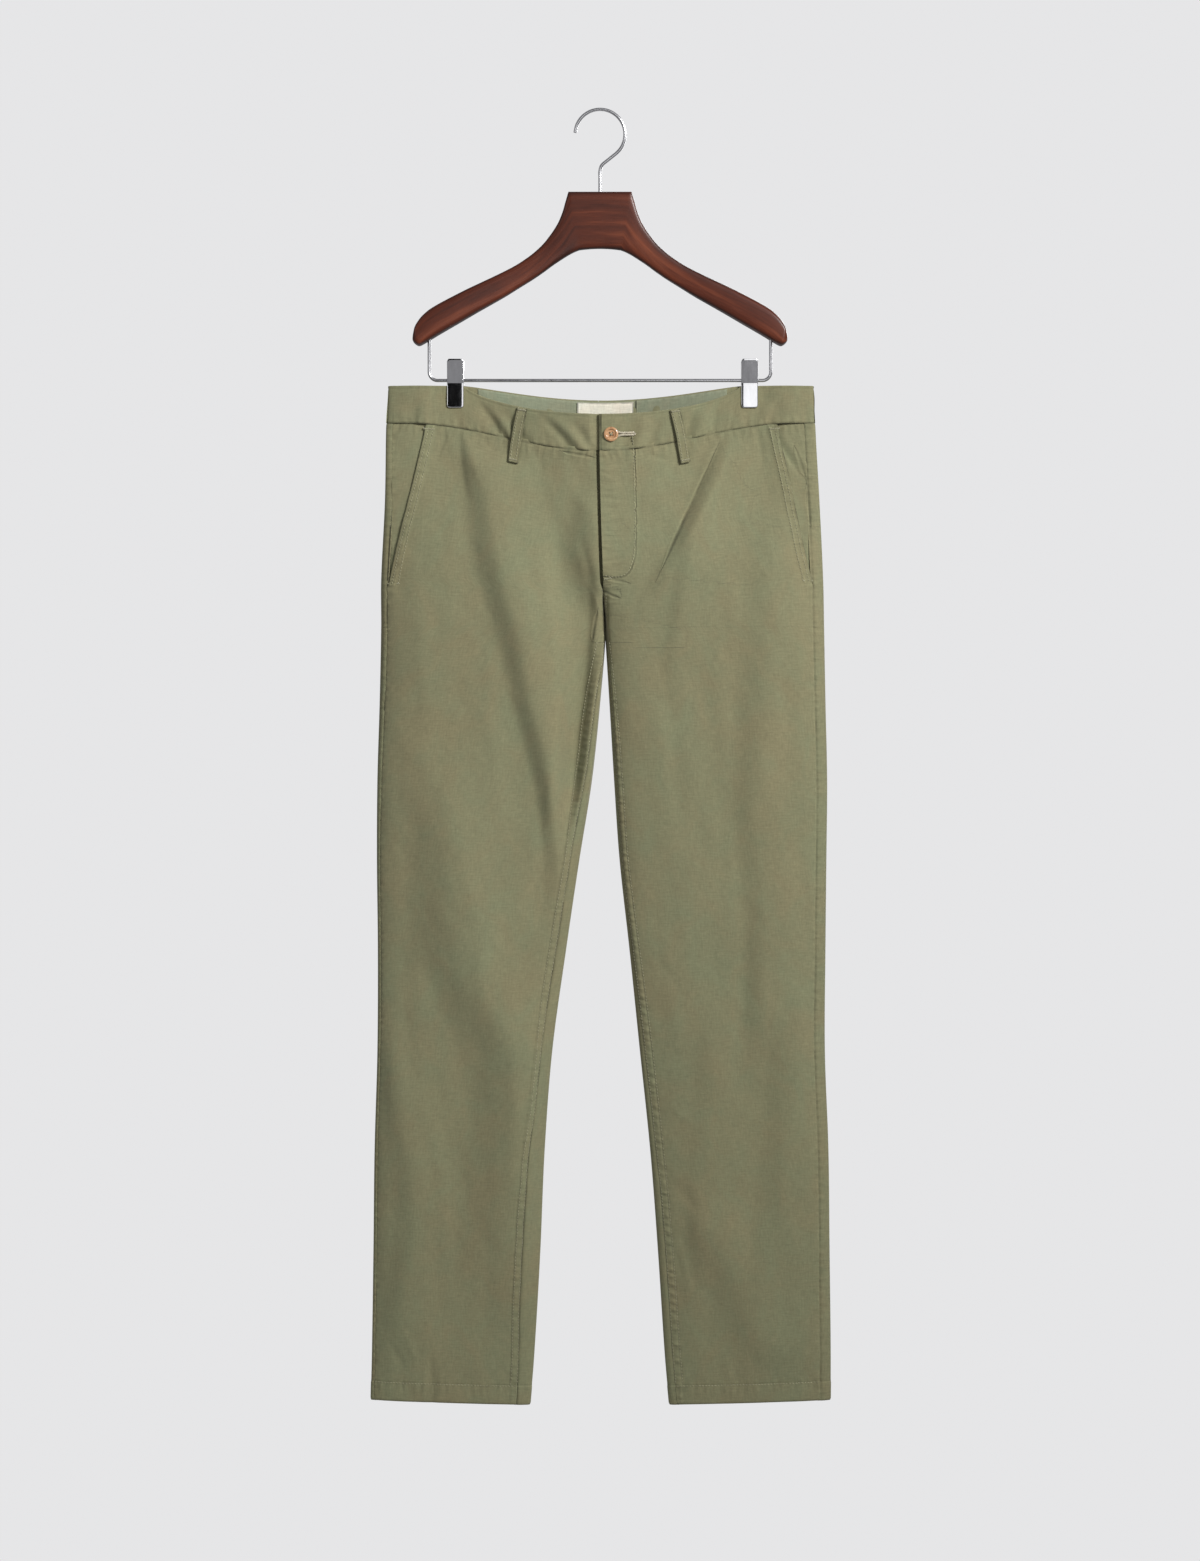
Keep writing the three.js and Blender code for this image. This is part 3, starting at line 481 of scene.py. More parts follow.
    def pocket_end(self, side: Side) -> float:
        """The drop of a pocket mouth's lower end."""
        return self.pocket_bottom[0 if side is Side.RIGHT else 1]

    def pocket_x(self, side: Side, drop: Array) -> Array:
        """X of the slanted pocket mouth."""
        top, bottom = (-184.5, -224.5) if side is Side.RIGHT else (188.0, 225.0)
        return mix(top, bottom, (drop - self.band) / (self.pocket_end(side) - self.band))

    def fly_row(self, count: int) -> Array:
        """Places (x, z) along the fly's curved row."""
        nodes = np.array(self.fly_curve, float)
        fine = np.linspace(0, len(nodes) - 1, count)
        x, z = (np.interp(fine, np.arange(len(nodes)), nodes[:, k]) for k in range(2))
        x = np.convolve(np.pad(x, 4, mode="edge"), np.ones(9) / 9, mode="valid")
        return np.stack([x, z], axis=1)

    def mouth(self, side: Side, drop: Array) -> Array:
        """The angle of a front's outer edge: the pocket mouth, and the outseam below it."""
        seam = self.outseam(side, drop)
        angle = self.angle_of(side, self.pocket_x(side, drop), drop)
        return np.where(drop < self.pocket_end(side), np.maximum(seam, angle), seam)


@dataclass(frozen=True)
class GarmentSkin:
    """The form with its seams, bands, creases and unevenness."""

    form: GarmentForm = field(default_factory=GarmentForm)

    def seam_distances(self, side: Side, angle: Array, drop: Array) -> dict[str, Array]:
        """Signed distances in mm along the section from each upright seam, on the front of the leg.

        Args:
            side: the leg.
            angle: the place round the section, below 0 on the front.
            drop: the distance below the waist's top edge.

        Returns:
            The distances from the outseam, the inseam, the pocket mouth and the centre, inwards from each.
        """
        form = self.form
        per = form.turn(side, angle, drop)
        front = -np.where(angle > math.pi, angle - 2 * math.pi, angle)
        return {
            "out": (front - form.outseam(side, drop)) / per,
            "in": (form.inseam(side, drop) - front) / per,
            "mouth": (front - form.mouth(side, drop)) / per,
            "centre": np.abs(form.around(side, angle, drop, 0)[..., 0] - form.centre(drop)),
        }

    def fly_distance(self, x: Array, z: Array) -> Array:
        """Distance in mm from the fly's curved row, above 0 on its inner side and below 0 outside it."""
        row = self.form.fly_row(80)
        away = np.min(np.hypot(x[..., None] - row[:, 0], z[..., None] - row[:, 1]), axis=-1)
        inside = (x < np.interp(-z, -row[:66, 1], row[:66, 0])) & (z > -495.6)
        return np.where(inside, away, -away)

    def creases(self, face: Array, x: Array, z: Array) -> Array:
        """Height of all the small creases of a face."""
        return sum(np.where(face == c.face.value, c.raised(x, z), 0.0) for c in CREASES)

    def crisp(self, x: Array, z: Array) -> Array:
        """Signed distance in mm from the nearest painted crease line on the front, or a far value off its
        ends.
        """
        nearest = np.full(np.shape(x), FAR)
        for x0, z0, x1, z1 in CREASE_SHADE_LINES:
            run = math.hypot(x1 - x0, z1 - z0)
            along = ((x - x0) * (x1 - x0) + (z - z0) * (z1 - z0)) / run ** 2
            taper = smooth(0, 0.3, along) * (1 - smooth(0.7, 1, along))
            away = ((x - x0) * (z1 - z0) - (z - z0) * (x1 - x0)) / run / np.maximum(taper, 0.05)
            here = (along > 0) & (along < 1) & (np.abs(away) < np.abs(nearest))
            nearest = np.where(here, away, nearest)
        return nearest

    def beside_inseam(self, side: Side, inner: Array, to_inseam: Array, drop: Array) -> Array:
        """The drawn-in strip beside the right inseam, and the fuller inner zone of the left leg.

        Args:
            side: the leg.
            inner: the distance from the leg's inner edge, in mm.
            to_inseam: the signed distance from the inseam, in mm.
            drop: the distance below the waist's top edge.

        Returns:
            The height to add on the front.
        """
        crotch = self.form.crotch_drop
        if side is Side.RIGHT:
            drawn = smooth(crotch - 34, crotch + 6, drop) * (1 - smooth(390, 500, drop))
            strip = smooth(0, 5, inner) * (1 - smooth(3.5, 7.5, to_inseam)) * (to_inseam > -30)
            return 3.4 * strip * drawn
        fuller = smooth(0, 9, inner) * np.exp(-(inner / 46) ** 2)
        fuller = fuller * smooth(self.form.fly_bottom - 30, crotch, drop)
        return 4.5 * fuller * (1 - smooth(520, 760, drop))

    def relief(self, side: Side, angle: Array, drop: Array) -> Array:
        """How far the cloth stands proud of the plain form, in mm.

        The sum of the small creases, soft noise, a groove along each seam, and the raised bands of the felled
        inseam, the pocket mouth, the fly and the hem.

        Args:
            side: the leg.
            angle: the place round the section.
            drop: the distance below the waist's top edge.

        Returns:
            The height at each place.
        """
        form = self.form
        angle, drop = np.broadcast_arrays(np.asarray(angle, float), np.asarray(drop, float))
        base = form.around(side, angle, drop, 0)
        x, z = base[..., 0], base[..., 2]
        face = np.where(np.sin(angle) >= 0, 1.0, -1.0)
        d = self.seam_distances(side, angle, drop)
        above = form.openness(drop)
        inner = np.abs(x - form.inner(side, drop))
        edge = np.minimum(np.abs(x - form.outer(side, drop)), mix(inner, FAR, above))
        soft = smooth(2, 22, edge)
        creases = self.creases(face, x, z)
        noise = 0.85 * uneven(x, z * 0.45, 36, 3) + 0.38 * uneven(x + z * 0.3, z * 0.7, 15, 8)
        total = (creases + noise) * soft * smooth(form.band - 2, form.band + 14, drop)
        front = face < 0
        below = smooth(form.crotch_drop, form.crotch_drop + 40, drop)
        total = total - 0.5 * bell(d["out"], 1.7) * (front | (np.abs(d["out"]) < 8))
        total = total - 0.5 * bell(d["in"], 1.7) * below
        felled = smooth(0.5, 2.2, d["in"]) * (1 - smooth(7.5, 10.5, d["in"]))
        total = total + np.where(front, 0.65 * felled * below, 0.0)
        total = total + np.where(front, self.beside_inseam(side, inner, d["in"], drop), 0.0)
        mouth = smooth(-0.2, 1.0, d["mouth"]) * (1 - smooth(9.5, 13.5, d["mouth"]))
        at_pocket = front * (1 - smooth(form.pocket_end(side), form.pocket_end(side) + 10, drop))
        total = total + 0.7 * mouth * at_pocket * smooth(form.band, form.band + 6, drop)
        if side is Side.LEFT:
            placket = smooth(-2.6, 0.4, self.fly_distance(x, z))
            total = total + np.where(front, 0.8 * placket, 0.0)
        below_fly = smooth(form.fly_bottom, form.fly_bottom + 16, drop)
        seam = np.where(front, below_fly, smooth(form.band, form.band + 4, drop))
        total = total - 0.6 * bell(d["centre"], 1.8) * seam * np.where(drop < form.crotch_drop, 1.0, 0.0)
        total = total + 0.35 * smooth(form.hem_drop - 20.5, form.hem_drop - 18.5, drop)
        return total - 0.2 * bell(drop - form.band, 2.2)

    def puckers(self, side: Side, angle: Array, drop: Array) -> dict[str, Array]:
        """Where the sewn seams pucker, from 0 to 1, with upright and level seams apart, and the distances at
        which the cloth's material paints shade lines and pale stitch rows.

        Args:
            side: the leg.
            angle: the place round the section.
            drop: the distance below the waist's top edge.

        Returns:
            The strength for each of the two ways that puckers lie, and the distances in mm from the seams,
            the hem, the waist seam and the painted crease lines.
        """
        form = self.form
        angle, drop = np.broadcast_arrays(np.asarray(angle, float), np.asarray(drop, float))
        d = self.seam_distances(side, angle, drop)
        face = np.where(np.sin(angle) >= 0, 1.0, -1.0)
        below = smooth(form.crotch_drop, form.crotch_drop + 30, drop)
        drawn = 0.55 if side is Side.RIGHT else 1.0
        upright = bell(d["in"] - 6.5, 4.5) * below * drawn + 0.55 * bell(d["out"], 5.0)
        at_pocket = (face < 0) * (1 - smooth(form.pocket_end(side), form.pocket_end(side) + 10, drop))
        upright = upright + 0.6 * bell(d["mouth"] - 4, 5) * at_pocket
        fly = 1 - smooth(form.fly_bottom, form.fly_bottom + 60, drop)
        amount = 0.55 if side is Side.LEFT else 0.08
        upright = upright + bell(d["centre"] - 8, 14) * np.where(face < 0, fly * amount, 0.3)
        level = 0.55 * bell(drop - form.hem_drop + 16, 8) + 0.55 * bell(drop - form.band - 5, 7)
        front = face < 0
        low = drop > form.crotch_drop
        base = form.around(side, angle, drop, 0)
        flat = base[..., 0], base[..., 2]
        fly_row = self.fly_distance(*flat) if side is Side.LEFT else FAR
        seamed = ~low & ~(front & (drop < form.fly_bottom))
        return {
            Lines.UPRIGHT.value: np.clip(upright, 0, 1),
            Lines.LEVEL.value: np.clip(level, 0, 1),
            Seam.INSEAM.value: np.where(low & (np.abs(d["in"]) < 40), d["in"], FAR),
            Seam.OUTSEAM.value: np.where(np.abs(d["out"]) < 40, d["out"], FAR),
            Seam.MOUTH.value: np.where(front & (drop < form.pocket_end(side)), d["mouth"], FAR),
            Seam.FLY.value: np.where(front & ~low, fly_row, FAR),
            Seam.CENTRE.value: np.where(seamed, d["centre"], FAR),
            Seam.CREASE.value: np.where(front, self.crisp(*flat), FAR),
            Seam.HEM.value: form.hem_drop - drop,
            Seam.BAND.value: drop - form.band,
        }

    def place(self, side: Side, angle: Array, drop: Array, lift: Array = 0.0) -> Array:
        """Points of the finished cloth's outer face, or lifted off it, in mm."""
        return self.form.around(side, angle, drop, -(self.relief(side, angle, drop) + lift))

    def across(self, face: Face, x: Array, drop: Array, inset: Array) -> Array:
        """Points of the plain form above the crotch by their place across the garment, in mm."""
        x, drop, inset = np.broadcast_arrays(*(np.asarray(v, float) for v in (x, drop, inset)))
        halves = []
        for side in Side:
            angle = self.form.angle_of(side, x, drop) * face.value
            halves.append(self.form.around(side, angle, drop, inset))
        return np.where((x < self.form.centre(drop))[..., None], halves[0], halves[1])

    def on_front(self, x: Array, z: Array, lift: float) -> Array:
        """Points of the finished front at given x and z above the crotch, by four passes for the drop.

        Args:
            x: places across, in mm.
            z: heights, in mm.
            lift: how far off the cloth, in mm.

        Returns:
            The points, in mm.
        """
        x, z = np.asarray(x, float), np.asarray(z, float)
        drop = self.form.waist_top - z
        for _ in range(4):
            drop = self.form.waist_top - z - self.form.sag(-np.ones_like(x), x, drop)
        halves = [self.place(side, -self.form.angle_of(side, x, drop), drop, lift) for side in Side]
        return np.where((x < self.form.centre(drop))[..., None], halves[0], halves[1])


# ---- meshes ----

def grid_faces(rows: int, columns: int, wrap_rows: bool, wrap_columns: bool) -> Array:
    """Quads of a grid of points, row by row, that may close on itself either way."""
    r = np.arange(rows if wrap_rows else rows - 1)[:, None]
    c = np.arange(columns if wrap_columns else columns - 1)[None, :]
    r2, c2 = (r + 1) % rows, (c + 1) % columns
    quads = np.stack([r * columns + c, r * columns + c2, r2 * columns + c2, r2 * columns + c], axis=-1)
    return quads.reshape(-1, 4)


def turned_out(points: Array, quads: Array, outward: Array | None) -> Array:
    """The quads, turned round if their faces point inwards.

    With an outward direction the middle quad's normal decides, and without one the volume that they enclose.

    Args:
        points: the vertices.
        quads: their faces.
        outward: a direction that the middle face looks along, or None for a closed shape.

    Returns:
        The quads, facing out.
    """
    a, b, c, d = (points[quads[:, k]] for k in range(4))
    normals = np.cross(c - a, d - b)
    if outward is None:
        inside_out = float(np.sum(np.einsum("ij,ij->i", a + b + c + d, normals))) < 0
    else:
        inside_out = float(normals[len(normals) // 2] @ np.asarray(outward)) < 0
    return quads[:, ::-1] if inside_out else quads


def new_piece(name: str, points: Array, faces: list, material: bpy.types.Material,
              uv: Array | None = None, marks: dict[str, Array] | None = None) -> bpy.types.Object:
    """Makes a smooth mesh object at the origin that rides on the part.

    Args:
        name: the piece's name.
        points: its vertices in metres.
        faces: its faces, as lists of vertex numbers.
        material: its finish.
        uv: a place on the cloth for each vertex, in metres.
        marks: a number for each vertex, by attribute name.

    Returns:
        The new object.
    """
    mesh = bpy.data.meshes.new(name)
    mesh.from_pydata(np.asarray(points).reshape(-1, 3).tolist(), [], faces)
    mesh.shade_smooth()
    if uv is not None:
        corners = np.empty(len(mesh.loops), dtype=np.int32)
        mesh.loops.foreach_get("vertex_index", corners)
        layer = mesh.uv_layers.new(name="cloth")
        layer.data.foreach_set("uv", np.asarray(uv, np.float32).reshape(-1, 2)[corners].ravel())
    count = len(mesh.vertices)
    for key, values in {**{seam.value: FAR for seam in Seam}, **(marks or {})}.items():
        mark = mesh.attributes.new(key, "FLOAT", "POINT")
        shape = np.shape(points)[:-1] if np.ndim(values) else (count,)
        mark.data.foreach_set("value", np.broadcast_to(np.asarray(values, np.float32), shape).ravel())
    mesh.materials.append(material)
    piece = bpy.data.objects.new(name, mesh)
    bpy.context.scene.collection.objects.link(piece)
    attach(piece, BODY)
    LOG.info("%s: %d faces", name, len(mesh.polygons))
    return piece


def cloth_places(points: Array) -> Array:
    """UV of a grid in metres: the distance along each row, and the distance down the first column."""
    across = np.linalg.norm(np.diff(points, axis=1), axis=-1)
    across = np.concatenate([np.zeros((len(points), 1)), np.cumsum(across, axis=1)], axis=1)
    middle = points[:, points.shape[1] // 2]
    down = np.concatenate([[0.0], np.cumsum(np.linalg.norm(np.diff(middle, axis=0), axis=-1))])
    across = across - across[:, [points.shape[1] // 2]]
    return np.stack([across, np.broadcast_to(-down[:, None], across.shape)], axis=-1)


def sheet_piece(name: str, points: Array, thickness: float, outward: tuple, material: bpy.types.Material,
                marks: dict[str, Array] | None = None, loop: bool = False) -> bpy.types.Object:
    """A sheet of cloth from a grid of its outer face in mm, thickened inwards by Solidify.

    Args:
        name: the piece's name.
        points: the grid, with rows down and columns across.
        thickness: the cloth's thickness in mm.
        outward: the direction that the middle of the grid faces.
        material: its finish.
        marks: a number for each vertex, by attribute name.
        loop: whether the last column joins the first.

    Returns:
        The new object.
    """
    points = points * MM
    quads = grid_faces(points.shape[0], points.shape[1], False, loop)
    quads = turned_out(points.reshape(-1, 3), quads, np.asarray(outward, float))
    piece = new_piece(name, points, quads.tolist(), material, cloth_places(points), marks)
    wall = piece.modifiers.new("cloth", "SOLIDIFY")
    wall.thickness = thickness * MM
    wall.offset = -1.0
    wall.use_rim = True
    return piece


def rolled_piece(name: str, points: Array, material: bpy.types.Material,
                 marks: dict[str, Array] | None = None) -> bpy.types.Object:
    """A closed piece from a profile carried along a path.

    Args:
        name: the piece's name.
        points: a grid in mm whose rows go round the profile and whose columns go along the path.
        material: its finish.
        marks: a number for each vertex, by attribute name.

    Returns:
        The new object.
    """
    points = points * MM
    rows, columns = points.shape[:2]
    quads = grid_faces(rows, columns, True, False)
    turned = turned_out(points.reshape(-1, 3), quads, None)
    start = (np.arange(rows) * columns).tolist()
    end = (np.arange(rows) * columns + columns - 1).tolist()
    caps = [start, end[::-1]] if turned is quads else [start[::-1], end]
    uv = cloth_places(np.swapaxes(points, 0, 1))
    uv = np.swapaxes(uv, 0, 1)[..., ::-1]
    return new_piece(name, points, turned.tolist() + caps, material, uv, marks)


def sweep(path: Array, radius: Array, sides: int) -> Array:
    """A tube's grid: a circle carried along a path, turned by the least twist.

    Args:
        path: the path's points.
        radius: the radius, or one for each point.
        sides: the circle's points.

    Returns:
        The grid, with rows round the circle and columns along the path.
    """
    tangent = np.gradient(path, axis=0)
    tangent /= np.linalg.norm(tangent, axis=1, keepdims=True)
    spread = np.ptp(path, axis=0)
    normal = np.cross(np.eye(3)[int(np.argmin(spread))], tangent)
    normal /= np.linalg.norm(normal, axis=1, keepdims=True)
    other = np.cross(tangent, normal)
    turn = np.arange(sides)[:, None, None] * 2 * math.pi / sides
    radius = np.broadcast_to(np.asarray(radius, float), (len(path),))[None, :, None]
    return path[None] + radius * (np.cos(turn) * normal[None] + np.sin(turn) * other[None])


def spaced(path: Array, pitch: float) -> Array:
    """Points every pitch mm along a path."""
    along = np.concatenate([[0.0], np.cumsum(np.linalg.norm(np.diff(path, axis=0), axis=1))])
    stops = np.arange(pitch / 2, along[-1], pitch)
    return np.stack([np.interp(stops, along, path[:, k]) for k in range(3)], axis=1)


# ---- finishes ----

class NodeBench:
    """A material's node tree with a shader, and short ways to add and join nodes."""

    def __init__(self, name: str) -> None:
        """Makes the material and finds its shader."""
        self.material = bpy.data.materials.new(name)
        self.material.use_nodes = True
        self.tree = self.material.node_tree
        self.shader = self.tree.nodes["Principled BSDF"]

    def add(self, kind: str, **values: object) -> bpy.types.Node:
        """Adds a node and sets its properties, or its sockets where the name is one of a socket.

        Args:
            kind: the node's type.
            values: properties, or sockets with underscores for spaces.

        Returns:
            The new node.
        """
        node = self.tree.nodes.new(kind)
        for key, value in values.items():
            socket = node.inputs.get(key.replace("_", " "))
            if socket is not None and not hasattr(node, key):
                socket.default_value = value
            else:
                setattr(node, key, value)
        return node

    def join(self, output: bpy.types.NodeSocket, target: bpy.types.NodeSocket) -> None:
        """Joins an output to an input."""
        self.tree.links.new(output, target)

    def math(self, operation: str, a: object, b: object, c: object = None) -> bpy.types.NodeSocket:
        """A Math node's result, where each operand is a number or an output."""
        node = self.add("ShaderNodeMath", operation=operation)
        for socket, value in zip(node.inputs, (a, b, c)):
            if isinstance(value, bpy.types.NodeSocket):
                self.join(value, socket)
            elif value is not None:
                socket.default_value = value
        return node.outputs[0]

    def place(self, source: str, scale: tuple, turn: float = 0.0) -> bpy.types.NodeSocket:
        """Object or UV coordinates through a Mapping node."""
        coordinates = self.add("ShaderNodeTexCoord")
        mapping = self.add("ShaderNodeMapping")
        mapping.inputs["Scale"].default_value = scale
        mapping.inputs["Rotation"].default_value = (0, 0, turn)
        self.join(coordinates.outputs[source], mapping.inputs["Vector"])
        return mapping.outputs[0]

    def noise(self, source: str, scale: tuple, detail: float = 2.0, turn: float = 0.0,
              distortion: float = 0.0) -> bpy.types.NodeSocket:
        """A noise's factor at a scale in turns for each metre."""
        node = self.add("ShaderNodeTexNoise", Scale=1.0, Detail=detail, Distortion=distortion)
        self.join(self.place(source, scale, turn), node.inputs["Vector"])
        return node.outputs[0]

    def ramp(self, factor: bpy.types.NodeSocket, stops: list[tuple[float, tuple]]) -> bpy.types.NodeSocket:
        """A colour ramp's colour over (place, colour) stops."""
        node = self.add("ShaderNodeValToRGB")
        elements = node.color_ramp.elements
        while len(elements) < len(stops):
            elements.new(0.5)
        for element, (at, colour) in zip(elements, stops):
            element.position = at
            element.color = (*colour, 1.0)
        self.join(factor, node.inputs["Fac"])
        return node.outputs["Color"]

    def multiplied(self, colour: bpy.types.NodeSocket, by: bpy.types.NodeSocket) -> bpy.types.NodeSocket:
        """One colour times another colour or tone."""
        blend = self.add("ShaderNodeMix", data_type="RGBA", blend_type="MULTIPLY")
        blend.inputs["Factor"].default_value = 1.0
        self.join(colour, blend.inputs[6])
        self.join(by, blend.inputs[7])
        return blend.outputs[2]

    def mark(self, name: str) -> bpy.types.NodeSocket:
        """A vertex attribute's number."""
        return self.add("ShaderNodeAttribute", attribute_name=name).outputs["Fac"]

    def bump(self, height: bpy.types.NodeSocket, strength: float = 1.0) -> None:
        """Bumps the shader by a height in metres."""
        node = self.add("ShaderNodeBump", Strength=strength, Distance=1.0)
        self.join(height, node.inputs["Height"])
        self.join(node.outputs[0], self.shader.inputs["Normal"])

    def sockets(self, **values: object) -> None:
        """Sets the shader's own sockets, with underscores for spaces."""
        for key, value in values.items():
            self.shader.inputs[key.replace("_", " ")].default_value = value


def scaled(colour: tuple, by: float) -> tuple:
    """A colour made lighter or darker."""
    return tuple(min(1.0, c * by) for c in colour)


@dataclass(frozen=True)
class SeamLine:
    """A line at a distance from a seam, of a half width in mm, that changes the tone and the height in mm. A
    tone below 0 is painted shade; a tone above 0 is a pale stitch row, and beside a crease a painted
    highlight.
    """

    seam: Seam
    at: float
    width: float
    tone: float
    height: float = 0.0


# Dark lines of painted shade in the seams' grooves, along the pocket mouth, the fly's row, the centre seam,
# the hem's row, the waist seam, the crease lines and the edges; pale lines for the stitch rows, and a painted
# highlight beside each crease line.
SEAM_SHADE_AND_STITCH_LINES = (
    SeamLine(Seam.INSEAM, 0.0, 1.0, -0.15, -0.30),
    SeamLine(Seam.INSEAM, 1.9, 0.6, 0.10),
    SeamLine(Seam.INSEAM, 10.0, 1.5, -0.05, -0.15),
    SeamLine(Seam.OUTSEAM, 0.0, 0.9, -0.13, -0.25),
    SeamLine(Seam.OUTSEAM, 2.2, 0.8, 0.06),
    SeamLine(Seam.MOUTH, 4.2, 0.65, 0.22, -0.12),
    SeamLine(Seam.MOUTH, 9.2, 0.65, 0.22, -0.12),
    SeamLine(Seam.MOUTH, 0.4, 1.1, -0.38),
    SeamLine(Seam.FLY, 0.0, 1.1, -0.34, -0.5),
    SeamLine(Seam.FLY, 1.8, 0.7, 0.14),
    SeamLine(Seam.FLY, -1.6, 0.7, 0.10),
    SeamLine(Seam.CENTRE, 0.2, 0.9, -0.22, -0.2),
    SeamLine(Seam.HEM, 20.6, 0.9, -0.10, -0.20),
    SeamLine(Seam.HEM, 19.3, 0.6, 0.18),
    SeamLine(Seam.BAND, 0.0, 1.3, -0.17, -0.25),
    SeamLine(Seam.CREASE, 0.0, 1.4, -0.26, -0.5),
    SeamLine(Seam.CREASE, 2.6, 1.3, 0.10, 0.25),
    SeamLine(Seam.EDGE, 0.4, 1.0, -0.42, -0.3),
    SeamLine(Seam.EDGE, 2.3, 0.5, 0.14),
)


@dataclass(frozen=True)
class TwillFinish:
    """Washed cotton twill: fine diagonal ribs, slubs, soft mottling, seams that pucker with their ridges
    paler and troughs darker (partly worn colour, partly painted highlight and shade), and painted shade lines
    along seams, creases and edges.
    """

    name: str
    colour: tuple
    pitch: float = 0.0009
    mottle: float = 0.13
    pucker: float = 0.0011
    lines: tuple = ()

    def seams(self, bench: NodeBench, uneven_by: bpy.types.NodeSocket) -> tuple:
        """The seam lines' tone and height: each is exp(-((distance - at) / width)^2), made uneven along it.
        The dark tones are painted shade and the pale ones stitch rows.

        Args:
            bench: the material's nodes.
            uneven_by: a noise that strengthens and weakens them.

        Returns:
            The tone to add and the height in metres.
        """
        tone, height = 0.0, 0.0
        for line in self.lines:
            mark = bench.mark(line.seam.value)
            away = bench.math("MULTIPLY_ADD", mark, 1 / line.width, -line.at / line.width)
            power = bench.math("MULTIPLY", bench.math("MULTIPLY", away, away), -1.0)
            strength = bench.math("POWER", math.e, power)
            tone = bench.math("MULTIPLY_ADD", strength, line.tone, tone)
            if line.height:
                height = bench.math("MULTIPLY_ADD", strength, line.height * MM, height)
        # Patches along the lines where the painted shade is stronger and weaker.
        line_patchiness = bench.math("MAXIMUM", bench.math("MULTIPLY_ADD", uneven_by, 5.0, -1.5), 0.2)
        return bench.math("MULTIPLY", tone, line_patchiness), height

    def ladder(self, bench: NodeBench, direction: str) -> bpy.types.NodeSocket:
        """Uneven steps about 9 mm apart, as stitches draw a seam up.

        Args:
            bench: the material's nodes.
            direction: the UV axis that they follow.

        Returns:
            Their height, from 0 to 1.
        """
        wave = bench.add("ShaderNodeTexWave", bands_direction=direction, Scale=35.0, Distortion=4.5,
                         Detail=1.0)
        wave.inputs["Detail Scale"].default_value = 1.2
        bench.join(bench.place("UV", (1, 1, 1)), wave.inputs["Vector"])
        return wave.outputs["Fac"]

    def build(self) -> bpy.types.Material:
        """Makes the material.

        Returns:
            The finished material.
        """
        bench = NodeBench(self.name)
        rib = bench.add("ShaderNodeTexWave", Scale=0.314 / self.pitch, Distortion=0.6, Detail=1.0)
        bench.join(bench.place("UV", (1, 1, 1), math.radians(27)), rib.inputs["Vector"])
        slub = bench.noise("UV", (620, 95, 1), 3.0)
        weft = bench.noise("UV", (110, 640, 1), 3.0)
        thread = bench.noise("UV", (420, 420, 1), 2.0)
        cloud = bench.noise("UV", (22, 14, 1), 5.0)
        streak = bench.noise("UV", (60, 7, 1), 3.0)
        shade = 0.5
        for tone, weight in ((cloud, self.mottle * 2.2), (streak, self.mottle * 1.4), (slub, 0.66),
                             (weft, 0.74), (thread, 0.40), (rib.outputs["Fac"], 0.10)):
            shade = bench.math("MULTIPLY_ADD", bench.math("SUBTRACT", tone, 0.5), weight, shade)
        upright = bench.mark(Lines.UPRIGHT.value)
        level = bench.mark(Lines.LEVEL.value)
        wave_up = bench.noise("UV", (26, 120, 1), 1.5, distortion=0.3)
        wave_level = bench.noise("UV", (105, 26, 1), 1.5, distortion=0.3)
        wave_up = bench.math("MULTIPLY_ADD", self.ladder(bench, "Y"), 0.30, wave_up)
        wave_level = bench.math("MULTIPLY_ADD", self.ladder(bench, "X"), 0.30, wave_level)
        swell_up = bench.math("MULTIPLY", upright, bench.math("SUBTRACT", wave_up, 0.65))
        swell_level = bench.math("MULTIPLY", level, bench.math("SUBTRACT", wave_level, 0.65))
        swell = bench.math("ADD", swell_up, swell_level)
        # Painted highlight and shade: the puckers' ridges paler and their troughs darker in colour, partly
        # worn colour and partly light.
        shade = bench.math("MULTIPLY_ADD", swell, 0.55, shade)
        warm = scaled(self.colour, 1.28)
        cool = scaled(self.colour, 0.76)
        colour = bench.ramp(shade, [(0.0, cool), (0.5, self.colour), (1.0, warm)])
        patches = bench.math("MULTIPLY_ADD", bench.noise("UV", (34, 24, 1), 3.0, distortion=0.8), 0.6,
                             bench.math("MULTIPLY", bench.noise("UV", (9, 6, 1), 3.0, distortion=0.6), 0.6))
        fade = bench.ramp(patches, [(0.46, (1.045, 0.985, 0.95)), (0.74, (0.955, 1.012, 0.995))])
        faded = bench.multiplied(colour, fade)
        # The seam lines' painted shade and pale stitch rows are multiplied into the colour.
        tone, line_height = self.seams(bench, bench.noise("UV", (38, 38, 1), 4.0))
        sewn = bench.multiplied(faded, bench.math("ADD", tone, 1.0))
        bench.join(sewn, bench.shader.inputs["Base Color"])
        height = bench.math("MULTIPLY_ADD", swell, self.pucker * 2.0, line_height)
        height = bench.math("MULTIPLY_ADD", rib.outputs["Fac"], 0.00003, height)
        height = bench.math("MULTIPLY_ADD", slub, 0.00006, height)
        height = bench.math("MULTIPLY_ADD", bench.noise("UV", (38, 22, 1), 2.0), 0.0010, height)
        bench.bump(height)
        bench.sockets(Roughness=0.88, Specular_IOR_Level=0.25, Sheen_Weight=0.18, Sheen_Roughness=0.45)
        return bench.material


